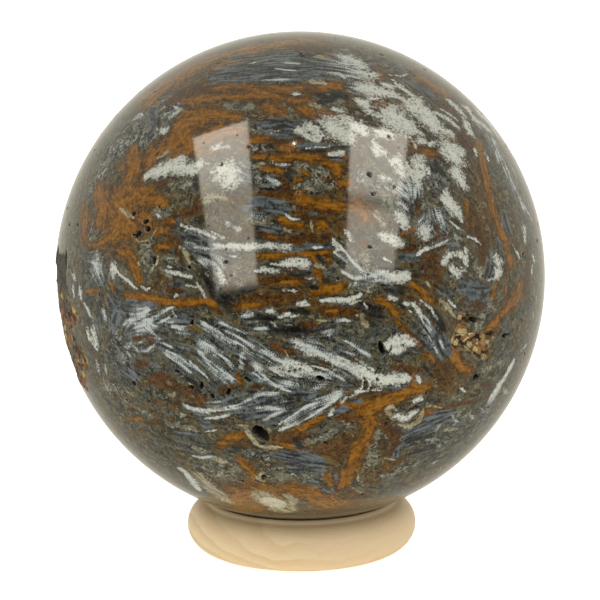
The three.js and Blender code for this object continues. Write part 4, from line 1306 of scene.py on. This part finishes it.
# ------------------------------------------------------------------ node helpers
class Tree:
    def __init__(self, name):
        self.mat = bpy.data.materials.new(name); self.mat.use_nodes = True
        self.t = self.mat.node_tree; self.t.nodes.clear()

    def node(self, kind, **kw):
        n = self.t.nodes.new(kind)
        for k, v in kw.items():
            setattr(n, k, v)
        return n

    def put(self, sock, v):
        if isinstance(v, bpy.types.NodeSocket):
            self.t.links.new(v, sock)
        elif v is not None:
            sock.default_value = v

    def math(self, op, a, b=None, c=None, clamp=False):
        n = self.node("ShaderNodeMath", operation=op, use_clamp=clamp)
        for k, v in enumerate((a, b, c)):
            if v is not None:
                self.put(n.inputs[k], v)
        return n.outputs[0]

    def vmath(self, op, a, b=None, scale=None):
        n = self.node("ShaderNodeVectorMath", operation=op)
        self.put(n.inputs[0], a)
        if b is not None:
            self.put(n.inputs[1], b)
        if scale is not None:
            self.put(n.inputs[3], scale)
        return n.outputs["Value"] if op in ("DOT_PRODUCT", "LENGTH", "DISTANCE") else n.outputs[0]

    def noise(self, vec, scale, detail=0.0, rough=.5, dist=0.0):
        n = self.node("ShaderNodeTexNoise"); n.noise_dimensions = "3D"
        self.put(n.inputs["Vector"], vec); self.put(n.inputs["Scale"], scale); self.put(n.inputs["Detail"], detail)
        self.put(n.inputs["Roughness"], rough); self.put(n.inputs["Distortion"], dist)
        return n.outputs[0]

    def step(self, v, lo, hi, a=0.0, b=1.0, smooth=True):
        n = self.node("ShaderNodeMapRange", interpolation_type="SMOOTHSTEP" if smooth else "LINEAR", clamp=True)
        self.put(n.inputs[0], v)
        for k, x in enumerate((lo, hi, a, b)):
            self.put(n.inputs[k + 1], x)
        return n.outputs[0]

    def mix(self, fac, a, b, mode="MIX"):
        n = self.node("ShaderNodeMix", data_type="RGBA", blend_type=mode, clamp_factor=True)
        self.put(n.inputs[0], fac); self.put(n.inputs[6], a); self.put(n.inputs[7], b)
        return n.outputs[2]

    def split(self, name):
        n = self.node("ShaderNodeAttribute", attribute_name=name, attribute_type="GEOMETRY")
        s = self.node("ShaderNodeSeparateXYZ"); self.put(s.inputs[0], n.outputs["Vector"])
        return s.outputs[0], s.outputs[1], s.outputs[2], n.outputs["Vector"]


def srgb(r, g, b, k=(1.0, 1.0, 1.0)):
    f = lambda x, m: (x / 255 / 12.92 if x / 255 <= .04045 else ((x / 255 + .055) / 1.055) ** 2.4) * m
    return (f(r, k[0]), f(g, k[1]), f(b, k[2]), 1.0)


# ------------------------------------------------------------------ the stone
K = (.635, .65, .565)          # all the stone's colours times this
S = Tree("polished_stone")
co = S.node("ShaderNodeTexCoord").outputs["Object"]
p = S.vmath("SCALE", co, scale=1000.0)                     # millimetres
gv = S.split("grain")[3]
wf, of_, bf, _ = S.split("veins_a")
rf, kf, cf, _ = S.split("veins_b")
gf, sf, yf, _ = S.split("veins_c")
coolf, warmf, darkf, _ = S.split("drifts")
pitf, goldf, scarf, _ = S.split("hollow")
chipf, deepf, rimf, _ = S.split("hollow_b")


def streak(vec, scale, span, taps, detail=0.0):
    """Noise smeared along the grain: the mean of a few looks up and down the grain line."""
    total = None
    for k in range(taps):
        at = (k - (taps - 1) / 2) * span / (taps - 1)
        v = S.noise(S.vmath("ADD", vec, S.vmath("SCALE", gv, scale=at)), scale, detail)
        total = v if total is None else S.math("ADD", total, v)
    return S.math("DIVIDE", total, float(taps))


fib = streak(p, 1.55, 2.4, 6)            # fibres about .3 mm across
hair = streak(p, 3.3, 1.9, 5)            # and finer ones
c0 = lambda v: S.math("SUBTRACT", v, .5)
bend_ = S.node("ShaderNodeTexNoise"); S.put(bend_.inputs["Vector"], p); S.put(bend_.inputs["Scale"], .42); S.put(bend_.inputs["Detail"], 2.0)
pw = S.vmath("ADD", p, S.vmath("SCALE", S.vmath("SUBTRACT", bend_.outputs["Color"], (.5, .5, .5)), scale=3.2))
turb = S.math("MULTIPLY_ADD", c0(S.noise(p, .62, 4.0, .68)), 2.6, 0.0)       # about -.6 to .6
turb2 = S.math("MULTIPLY_ADD", c0(S.noise(pw, .85, 4.0, .66)), 2.6, 0.0)
speck = S.noise(p, 2.1, 2.0, .65)
grit = S.noise(p, 4.4, 1.0, .6)
spk = S.math("MULTIPLY", c0(speck), 2.2)
grt = S.math("MULTIPLY", c0(grit), 2.4)
wide = S.noise(p, .2, 2.0, .5)
fb = S.math("MULTIPLY", c0(fib), 7.5)
hr = S.math("MULTIPLY", c0(hair), 7.0)


def add(*terms):
    """Sum of (weight, value) pairs."""
    total = None
    for w, v in terms:
        total = S.math("MULTIPLY", v, w) if total is None else S.math("MULTIPLY_ADD", v, w, total)
    return total


def cover(fld, soft, *terms):
    """How much a class shows: its field, its edge broken by the given noises."""
    return S.step(add((1.0, fld), *terms), -soft, soft)


def tone(dark, light, v, lo=-.5, hi=.5):
    return S.mix(S.step(v, lo, hi), srgb(*dark, K), srgb(*light, K))


# ground: broken patches of olive grey, brown and dull blue, each speckled
cell = S.node("ShaderNodeTexVoronoi", feature="F1"); S.put(cell.inputs["Vector"], pw); S.put(cell.inputs["Scale"], .52)
cc = S.node("ShaderNodeSeparateColor"); S.put(cc.inputs[0], cell.outputs["Color"])
cell2 = S.node("ShaderNodeTexVoronoi", feature="F1"); S.put(cell2.inputs["Vector"], pw); S.put(cell2.inputs["Scale"], 1.25)
cc2 = S.node("ShaderNodeSeparateColor"); S.put(cc2.inputs[0], cell2.outputs["Color"])
edge = S.node("ShaderNodeTexVoronoi", feature="DISTANCE_TO_EDGE"); S.put(edge.inputs["Vector"], pw); S.put(edge.inputs["Scale"], .85)
crack = S.math("MULTIPLY", S.step(add((1.0, edge.outputs["Distance"]), (.10, grt)), .015, .075, 1.0, 0.0), S.step(turb2, -.25, .15))
shade = add((.70, turb), (.26, spk), (.22, grt), (.40, S.math("SUBTRACT", cc2.outputs[0], .5)), (.20, fb), (.12, hr))
ground = tone((50, 46, 36), (120, 111, 87), shade, -.50, .55)
warm = tone((62, 44, 20), (126, 93, 46), shade, -.5, .6)
cool = tone((36, 37, 37), (112, 115, 112), shade, -.5, .55)
col = S.mix(S.step(add((1.0, cc.outputs[0]), (.5, turb2), (.5, c0(wide)), (.62, warmf), (-.5, coolf)), .60, .82), ground, warm)
col = S.mix(S.step(add((1.0, cc.outputs[1]), (.5, turb2), (.65, coolf), (-.5, warmf)), .66, .84), col, cool)
col = S.mix(S.math("MULTIPLY", darkf, S.step(shade, -.5, .5, .85, .35)), col, srgb(38, 35, 29, K))
col = S.mix(S.step(add((1.0, cc2.outputs[1]), (.6, spk)), .86, 1.0), col, srgb(138, 130, 106, K))

chips = add((.8, S.math("SUBTRACT", cc2.outputs[0], .5)), (.5, turb2), (.55, spk), (.5, grt))
m = cover(sf, .25, (.9, turb), (.6, spk))
salt = tone((30, 32, 36), (134, 135, 130), chips, -.30, .42)
salt = S.mix(S.step(add((1.0, cc2.outputs[2]), (.4, spk)), .80, .95), salt, srgb(178, 179, 176, K))
col = S.mix(m, col, salt)

m = cover(gf, .25, (.9, turb), (.6, spk))
pale = tone((66, 66, 58), (150, 148, 132), chips, -.45, .40)
pale = S.mix(S.step(add((1.0, cc2.outputs[2]), (.4, spk)), .80, .95), pale, srgb(180, 178, 164, K))
col = S.mix(m, col, pale)
col = S.mix(S.math("MULTIPLY", crack, .62), col, srgb(32, 30, 26, K))

m = cover(rf, .30, (1.15, turb), (.7, spk), (.25, fb), (.15, warmf))
col = S.mix(m, col, tone((44, 28, 12), (116, 73, 24), add((.7, turb2), (.5, spk), (.3, grt)), -.5, .5))

m = cover(yf, .34, (.6, turb), (.4, spk))
col = S.mix(m, col, tone((84, 70, 40), (128, 108, 62), add((.6, turb), (.6, spk)), -.5, .5))

ov = add((1.0, of_), (1.15, turb), (.62, spk), (.25, fb), (.20, warmf))
near_amber = S.math("MULTIPLY", S.step(ov, -1.0, -.15), .50)
col = S.mix(near_amber, col, tone((58, 42, 20), (128, 94, 44), shade, -.5, .55))
m = S.step(ov, -.30, .26)
amber = tone((76, 47, 10), (134, 86, 16), add((.7, turb2), (.5, spk), (.3, fb)), -.5, .5)
bright = tone((116, 74, 10), (174, 112, 18), add((.7, turb2), (.45, spk), (.3, fb)), -.45, .5)
amber = S.mix(S.step(ov, .15, .80), amber, bright)
col = S.mix(m, col, amber)

m = cover(bf, .34, (.6, turb), (.4, spk), (.6, fb))
slate = tone((28, 31, 37), (116, 123, 132), add((.55, fb), (.4, spk), (.35, turb2)), -.5, .55)
col = S.mix(m, col, slate)

m = cover(kf, .34, (.6, turb), (.6, spk))
col = S.mix(m, col, tone((20, 20, 20), (58, 56, 52), add((.6, spk), (.5, fb)), -.5, .5))

m = cover(cf, .30, (.6, turb), (.6, spk))
col = S.mix(m, col, tone((126, 113, 88), (192, 181, 156), add((.8, spk), (.5, fb)), -.5, .4))

silky = S.step(add((1.0, coolf), (.4, turb2)), .15, .60)
blotchy = S.math("SUBTRACT", 1.0, silky)
wsilk = add((1.0, wf), (.75, turb), (.35, spk), (.55, fb), (.50, hr), (.10, grt))
wblot = S.math("ADD", add((1.0, wf), (1.25, turb), (.95, spk), (.14, fb), (.30, grt)), .16)
wv = S.math("ADD", S.math("MULTIPLY", wsilk, silky), S.math("MULTIPLY", wblot, blotchy))
band = S.math("MULTIPLY", S.step(wv, -1.15, -.60), S.step(wv, -.50, -.22, 1.0, 0.0))
col = S.mix(S.math("MULTIPLY", band, S.math("MULTIPLY_ADD", silky, -.25, .55)), col, srgb(36, 32, 26, K))
halo = S.math("MULTIPLY", S.step(wv, -1.7, -.15), S.step(add((.8, fb), (.8, hr), (.4, turb2)), -.70, .45, .25, .95))
halo = S.math("MULTIPLY", halo, S.math("MULTIPLY_ADD", silky, .60, .32))
col = S.mix(halo, col, tone((62, 66, 70), (146, 151, 156), add((.6, fb), (.5, hr), (.4, spk)), -.6, .6))
m = S.step(add((1.0, wv), (.30, silky)), -.35, .45)
# Silky white fibres: their own pale colour, with their silky sheen painted in as brighter streaks along the grain.
silk_white_and_sheen = tone((104, 109, 114), (212, 216, 222), add((.45, fb), (.40, hr), (.2, spk), (.70, wv)), -.35, .95)
snow = tone((148, 146, 140), (232, 232, 230), add((.5, spk), (.4, turb2), (.35, grt), (.45, wv)), -.30, .60)
snow = S.mix(S.step(add((1.0, speck), (.22, grt), (.10, wv)), .30, .38, 1.0, 0.0), snow, srgb(58, 55, 50, K))
col = S.mix(m, col, S.mix(silky, snow, silk_white_and_sheen))

# hairline dark seams and thin pale ones that wander round the patches
seam = S.math("ABSOLUTE", c0(S.noise(pw, .50, 3.0, .6)))
seam = S.math("MULTIPLY", S.step(seam, .004, .020, 1.0, 0.0), S.step(turb, -.1, .2))
col = S.mix(S.math("MULTIPLY", seam, .55), col, srgb(34, 32, 28, K))
seam2 = S.math("ABSOLUTE", c0(S.noise(S.vmath("ADD", pw, (11.0, 5.0, 17.0)), .42, 3.0, .62)))
seam2 = S.math("MULTIPLY", S.step(seam2, .003, .018, 1.0, 0.0), S.step(turb2, .0, .3))
col = S.mix(S.math("MULTIPLY", seam2, .28), col, srgb(164, 152, 124, K))

# little dark holes, in patches
vor = S.node("ShaderNodeTexVoronoi", feature="F1"); S.put(vor.inputs["Vector"], p); S.put(vor.inputs["Scale"], .95); S.put(vor.inputs["Randomness"], 1.0)
rnd = S.node("ShaderNodeSeparateColor"); S.put(rnd.inputs[0], vor.outputs["Color"])
dot = S.math("SUBTRACT", S.step(rnd.outputs[0], .60, 1.0, 0.0, .32, False), add((1.0, vor.outputs["Distance"]), (.12, spk)))
dots = S.step(dot, -.03, .05)
busy = S.step(wide, .40, .56)
dots = S.math("MULTIPLY", dots, busy)
# Painted shade: the dark specks stand in for the shade inside pinholes too small to model.
col = S.mix(S.math("MULTIPLY", dots, .85), col, srgb(24, 22, 20, K))

# hollows: cream lip, painted shade inside the pits; the crystal pocket and the scar, both with painted glints, the
# pocket also with painted shade between its crystals; the chalky chip
lip = S.math("MULTIPLY", S.step(rimf, .35, .9), S.step(S.noise(p, .8, 1.0), .46, .58))
col = S.mix(S.math("MULTIPLY", lip, .40), col, srgb(160, 144, 112, K))
# Painted shade: the pits are dug into the mesh, and their insides are also coloured near black for the shade in them.
col = S.mix(pitf, col, tone((9, 7, 6), (38, 29, 20), spk))
vg = S.node("ShaderNodeTexVoronoi", feature="F1"); S.put(vg.inputs["Vector"], S.vmath("ADD", p, S.vmath("SCALE", gv, scale=S.math("MULTIPLY", turb2, .5)))); S.put(vg.inputs["Scale"], .82)
vr = S.node("ShaderNodeSeparateColor"); S.put(vr.inputs[0], vg.outputs["Color"])
gold = S.mix(S.step(add((1.0, vr.outputs[0]), (.35, spk)), .05, .95), srgb(70, 46, 18, K), srgb(196, 142, 70, K))
# Painted highlight: some crystal faces are coloured pale gold as glints.
gold = S.mix(S.step(add((1.0, vr.outputs[1]), (.25, grt)), .66, .80), gold, srgb(246, 216, 154, K))
# Painted shade: the edges between the crystal cells are coloured dark brown as shade in the crevices.
gold = S.mix(S.step(add((1.0, vg.outputs["Distance"]), (.25, spk)), .50, .72), gold, srgb(44, 27, 9, K))
col = S.mix(goldf, col, gold)
scar = S.mix(S.step(add((1.0, vr.outputs[2]), (.6, turb2)), .1, .9), srgb(52, 34, 14, K), srgb(176, 112, 42, K))
scar = S.mix(S.step(add((1.0, vr.outputs[0]), (.8, turb)), .55, .8), scar, srgb(120, 116, 100, K))
scar = S.mix(S.step(add((1.0, turb2), (.5, spk)), -.45, -.05), srgb(40, 29, 15, K), scar)
# Painted highlight: sparse yellow flecks as glints on crystal faces.
scar = S.mix(S.step(vr.outputs[1], .88, .96), scar, srgb(222, 190, 92, K))
hz = S.node("ShaderNodeSeparateXYZ"); S.put(hz.inputs[0], p)
scar = S.mix(S.step(add((1.0, hz.outputs[2]), (3.0, turb)), 54.0, 58.0), scar, tone((34, 32, 26), (104, 98, 80), add((.7, spk), (.6, turb)), -.5, .5))
col = S.mix(scarf, col, scar)
col = S.mix(chipf, col, tone((214, 200, 174), (250, 242, 224), spk, -.4, .4))

rawness = S.math("MAXIMUM", S.math("MAXIMUM", pitf, goldf), S.math("MAXIMUM", scarf, chipf))
rough = S.math("ADD", S.step(speck, .3, .7, .05, .10), S.math("MULTIPLY", dots, .35))
rough = S.math("MAXIMUM", rough, S.math("MULTIPLY", rawness, .62))
bump = S.node("ShaderNodeBump"); S.put(bump.inputs["Strength"], 1.0); S.put(bump.inputs["Distance"], .00001)
h = S.math("MULTIPLY", S.math("MULTIPLY", rawness, c0(S.noise(p, 4.4, 1.0, .6))), 26.0)
S.put(bump.inputs["Height"], h)
bs = S.node("ShaderNodeBsdfPrincipled")
S.put(bs.inputs["Base Color"], col); S.put(bs.inputs["Roughness"], rough); S.put(bs.inputs["Normal"], bump.outputs[0])
bs.inputs["IOR"].default_value = 1.54
out = S.node("ShaderNodeOutputMaterial"); S.put(out.inputs[0], bs.outputs[0])
ball.data.materials.append(S.mat)

# ------------------------------------------------------------------ the turned ring
NT, NS = 300, 72
th = np.linspace(0, 2 * np.pi, NT, endpoint=False); ph = np.linspace(0, 2 * np.pi, NS, endpoint=False)
TH, PH = np.meshgrid(th, ph, indexing="ij")
flat_z = float(ring_lo[2]) * 1000; top_z = float(ring_hi[2]) * 1000
midz = top_z - RING_r
cx, cy = (ring_lo[0] + ring_hi[0]) / 2 * 1000, (ring_lo[1] + ring_hi[1]) / 2 * 1000
rr = RING_R + RING_r * np.cos(PH); zz = midz + RING_r * np.sin(PH)
x, y = rr * np.cos(TH), rr * np.sin(TH)
q = np.stack([x, y, zz], -1).reshape(-1, 3)
# the ball beds in a little: the section rises to just short of it on both sides of the contact
up_ = BALL[2] * 1000
gap = np.hypot(rr, zz - up_).reshape(-1) - R_MM
off = np.abs(((PH - math.atan2(up_ - midz, -RING_R)) + np.pi) % (2 * np.pi) - np.pi).reshape(-1) * RING_r
bed = np.clip(gap - .03, 0, None) * fade((2.9 - off) / 1.1)
# faint tool chatter and grain relief, kept inside the turned surface
tool = -.010 * (.5 + .5 * np.sin(PH * 46 + .4 * np.sin(TH * 3))).reshape(-1) - .02 * noise(q * np.array([.5, 2.2, 2.2]), 31)
nx = np.stack([np.cos(PH) * np.cos(TH), np.cos(PH) * np.sin(TH), np.sin(PH)], -1).reshape(-1, 3)
q = q + nx * (tool + np.where(bed > 0, bed, 0))[:, None]
q[:, 2] = np.maximum(q[:, 2], flat_z)
q[:, 0] += cx; q[:, 1] += cy
I = np.arange(NT * NS).reshape(NT, NS)
quads = np.stack([I, np.roll(I, -1, 0), np.roll(np.roll(I, -1, 0), -1, 1), np.roll(I, -1, 1)], -1).reshape(-1, 4)
ring = make_mesh("turned_wood_ring", q / 1000, quads)

W = Tree("turned_wood")
co = W.node("ShaderNodeTexCoord").outputs["Object"]
p = W.vmath("SCALE", co, scale=1000.0)
warp = W.noise(p, .07, 2.0, .5)
warp2 = W.noise(p, .22, 2.0, .5)
sx = W.node("ShaderNodeSeparateXYZ"); W.put(sx.inputs[0], p)
# growth rings about a line that runs across the board, well below the ring
yy = W.math("ADD", sx.outputs[1], W.math("MULTIPLY", W.math("SUBTRACT", warp, .5), 9.0))
z2 = W.math("ADD", W.math("SUBTRACT", sx.outputs[2], -26.0), W.math("MULTIPLY", sx.outputs[0], .10))
rad = W.math("SQRT", W.math("ADD", W.math("POWER", W.math("ADD", yy, 6.0), 2.0), W.math("POWER", z2, 2.0)))
rad = W.math("ADD", rad, W.math("MULTIPLY", warp2, 1.6))
wave = W.math("FRACT", W.math("DIVIDE", rad, 2.9))
late = W.math("MULTIPLY", W.step(wave, .05, .92), W.step(wave, .92, 1.0, 1.0, 0.0))
pores = W.noise(W.vmath("MULTIPLY", p, (.35, 3.2, 3.2)), 1.6, 2.0, .6)
fine = W.noise(W.vmath("MULTIPLY", p, (.12, 1.0, 1.0)), 3.4, 2.0, .6)
broad = W.noise(p, .06, 1.0)
wood = W.mix(late, srgb(228, 204, 160), srgb(217, 188, 141))
wood = W.mix(W.step(broad, .35, .68), wood, srgb(222, 195, 152))
wood = W.mix(W.math("MULTIPLY", W.step(fine, .45, .70), .20), wood, srgb(204, 172, 126))
wood = W.mix(W.math("MULTIPLY", W.step(pores, .62, .74), .16), wood, srgb(184, 150, 106))
wb = W.node("ShaderNodeBump"); W.put(wb.inputs["Strength"], .6); W.put(wb.inputs["Distance"], .00004)
W.put(wb.inputs["Height"], W.math("ADD", W.math("MULTIPLY", pores, .7), W.math("MULTIPLY", late, .25)))
bw = W.node("ShaderNodeBsdfPrincipled")
W.put(bw.inputs["Base Color"], wood); W.put(bw.inputs["Roughness"], W.step(fine, .3, .7, .50, .62)); W.put(bw.inputs["Normal"], wb.outputs[0])
wo = W.node("ShaderNodeOutputMaterial"); W.put(wo.inputs[0], bw.outputs[0])
ring.data.materials.append(W.mat)

for ob, node, slot in ((ball, "stone_sphere", "polished_stone"), (ring, "ring_stand", "turned_wood")):
    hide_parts(node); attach(ob, "root")


# ------------------------------------------------------------------ floor, light, camera
def plain(name, colour, rough=.9, emit=0.0):
    t = Tree(name); b = t.node("ShaderNodeBsdfPrincipled")
    b.inputs["Base Color"].default_value = colour; b.inputs["Roughness"].default_value = rough
    b.inputs["Specular IOR Level"].default_value = 0.1
    if emit:
        b.inputs["Emission Color"].default_value = (1, 1, 1, 1); b.inputs["Emission Strength"].default_value = emit
    o = t.node("ShaderNodeOutputMaterial"); t.put(o.inputs[0], b.outputs[0])
    return t.mat


fs = 2.2
floor = make_mesh("floor", np.array([[-fs, -fs, 0], [fs, -fs, 0], [fs, fs, 0], [-fs, fs, 0]]), np.array([[0, 1, 2, 3]]), False)
floor.location.z = -0.0002
floor.data.materials.append(plain("floor_white", (.86, .86, .86, 1), .9, .64))
floor.visible_glossy = False
# Painted shade: a greyer disc without the floor's glow, under the ring, so the floor in the ring's hole mirrors dark in
# the polish; the ball and ring also cast their real shadow on it.
k = np.arange(40) * 2 * math.pi / 40
under = make_mesh("painted_shade_disc_under_ring", np.concatenate([np.stack([.0182 * np.cos(k), .0182 * np.sin(k), 0 * k], 1), [[0, 0, 0]]]),
                  np.array([[i, (i + 1) % 40, 40] for i in range(40)]), False)
under.location.z = -0.0001
under.data.materials.append(plain("floor_painted_shade", (.7, .68, .62, 1), .9))

world = bpy.data.worlds.new("studio"); bpy.context.scene.world = world; world.use_nodes = True
wt = world.node_tree; wt.nodes.clear()
bg = wt.nodes.new("ShaderNodeBackground"); bg.inputs[0].default_value = (1, 1, 1, 1); bg.inputs[1].default_value = 1.05
wo2 = wt.nodes.new("ShaderNodeOutputWorld"); wt.links.new(bg.outputs[0], wo2.inputs[0])

# The studio: a big soft shell, white behind, over and beside the object and greyer on the front, where the camera stands.
ni, nj = 24, 48


def studio(name, levels, tint, diffuse, glossy, size):
    vs, lum = [], []
    for i in range(ni + 1):
        la = -math.pi / 2 + math.pi * i / ni
        for j in range(nj):
            lo = 2 * math.pi * j / nj
            d = np.array([math.cos(la) * math.sin(lo), -math.cos(la) * math.cos(lo), math.sin(la)])
            vs.append(BALL + size * d)
            k = float(np.interp(float(np.dot(d, unit(0.0, 10.0))), [-1, -.9, -.7, -.25, .25, .62, 1], levels))
            lum.append(k * (1 + .12 * max(d[2], 0)) * (1 if d[2] > 0 or diffuse else 1 + .5 * d[2]))
    idx = np.arange((ni + 1) * nj).reshape(ni + 1, nj)
    fq = np.stack([idx[:-1], np.roll(idx[:-1], -1, 1), np.roll(idx[1:], -1, 1), idx[1:]], -1).reshape(-1, 4)
    shell = make_mesh(name, np.array(vs), fq, False)
    at = shell.data.attributes.new("glow", "FLOAT", "POINT"); at.data.foreach_set("value", np.array(lum, np.float32))
    t = Tree(name); g_ = t.node("ShaderNodeAttribute", attribute_name="glow", attribute_type="GEOMETRY")
    e_ = t.node("ShaderNodeEmission"); e_.inputs[0].default_value = tint
    t.put(e_.inputs[1], g_.outputs["Fac"]); o_ = t.node("ShaderNodeOutputMaterial"); t.put(o_.inputs[0], e_.outputs[0])
    shell.data.materials.append(t.mat)
    shell.visible_camera = False; shell.visible_diffuse = diffuse; shell.visible_glossy = glossy


studio("studio_mirrored", MIRRORED, (1.0, .95, .80, 1), False, True, 2.5)
studio("studio_cast", CAST, (1.0, .99, .97, 1), True, False, 2.6)

# camera: ten radii out, a little above, with the small roll and shift of the framing
elev, rollc = math.radians(10.42), math.radians(.397)
dist = 10 * R_MM / 1000
f_px = 245.0 / math.tan(math.asin(.1))
camd = bpy.data.cameras.new("camera"); cam = bpy.data.objects.new("camera", camd); bpy.context.scene.collection.objects.link(cam)
camd.sensor_width = 36.0; camd.lens = f_px / 600 * 36.0; camd.clip_start = .01; camd.clip_end = 50
camd.shift_x = (300.0 - 300.1) / 600; camd.shift_y = (276.1 - 300.0) / 600
eye = BALL + dist * np.array([0, -math.cos(elev), math.sin(elev)])
fwd = np.array([0, math.cos(elev), -math.sin(elev)]); right0 = np.array([1.0, 0, 0]); up0 = np.array([0, math.sin(elev), math.cos(elev)])
# a counter-clockwise turn of the picture is a clockwise turn of the camera
right = right0 * math.cos(rollc) - up0 * math.sin(rollc); up = right0 * math.sin(rollc) + up0 * math.cos(rollc)
from mathutils import Matrix
M = Matrix(((right[0], up[0], -fwd[0], eye[0]), (right[1], up[1], -fwd[1], eye[1]), (right[2], up[2], -fwd[2], eye[2]), (0, 0, 0, 1)))
cam.matrix_world = M
bpy.context.scene.camera = cam

# Two tall soft windows in front, placed where they mirror in the polish.

def on_ball(px, py):
    """Direction from the ball's middle to the surface point seen at a place in the 600 x 600 frame."""
    X, Y = (px - 300.1) / f_px, (276.1 - py) / f_px
    d = fwd + X * right + Y * up; d /= np.linalg.norm(d)
    o = (eye - BALL) / (R_MM / 1000); b = o @ d; cc = o @ o - 1
    t = -b - math.sqrt(max(b * b - cc, 0)); return o + t * d, d


def mirror_to(px, py, far):
    n, d = on_ball(px, py); r = d - 2 * (d @ n) * n
    return BALL + n * R_MM / 1000 + r * far


def window(name, corners, far, levels):
    """A light panel whose mirror image has these corners: top left, top right, bottom right, bottom left. levels: (how far down, brightness) pairs."""
    rows_, cols = 48, 8
    tl, tr, br, bl = [np.array(c, float) for c in corners]
    vs, cs = [], []
    for i in range(rows_ + 1):
        v = i / rows_; a_ = tl + (bl - tl) * v; b_ = tr + (br - tr) * v
        for j in range(cols + 1):
            u_ = j / cols; px = a_ + (b_ - a_) * u_
            vs.append(mirror_to(px[0], px[1], far)); cs.append(float(np.interp(v, *zip(*levels))))
    vs = np.array(vs)
    idx = np.arange(len(vs)).reshape(rows_ + 1, cols + 1)
    fs_ = np.stack([idx[:-1, :-1], idx[:-1, 1:], idx[1:, 1:], idx[1:, :-1]], -1).reshape(-1, 4)
    ob = make_mesh(name, vs, fs_, False)
    at = ob.data.attributes.new("glow", "FLOAT", "POINT"); at.data.foreach_set("value", np.array(cs, np.float32))
    t = Tree(name); a_ = t.node("ShaderNodeAttribute", attribute_name="glow", attribute_type="GEOMETRY")
    e_ = t.node("ShaderNodeEmission"); e_.inputs[0].default_value = (1.0, .93, .80, 1); t.put(e_.inputs[1], a_.outputs["Fac"])
    o_ = t.node("ShaderNodeOutputMaterial"); t.put(o_.inputs[0], e_.outputs[0])
    ob.data.materials.append(t.mat); ob.visible_camera = False; ob.visible_shadow = False; ob.visible_diffuse = False
    return ob


window("window_left", [(193, 138), (247.6, 120), (257.5, 289), (216, 293)], 1.1,
       [(0, 6.8), (.25, 6.2), (.36, 5.0), (.42, 3.4), (.47, 3.2), (.54, 3.8), (.62, 3.4), (.70, 4.2), (.92, 4.6), (.96, 3.0), (1, .8)])
window("window_right", [(351, 122), (408, 136), (393, 281), (345, 283)], 1.1,
       [(0, 6.2), (.30, 6.2), (.42, 5.2), (.46, 2.4), (.51, 2.0), (.55, 4.6), (.78, 4.8), (.92, 3.4), (1, .5)])
window("lamp", [(293.0, 142.5), (295.0, 142.5), (295.0, 144.5), (293.0, 144.5)], 1.1, [(0, 60), (1, 60)])

scene = bpy.context.scene
scene.view_settings.view_transform = "Standard"; scene.view_settings.look = "None"
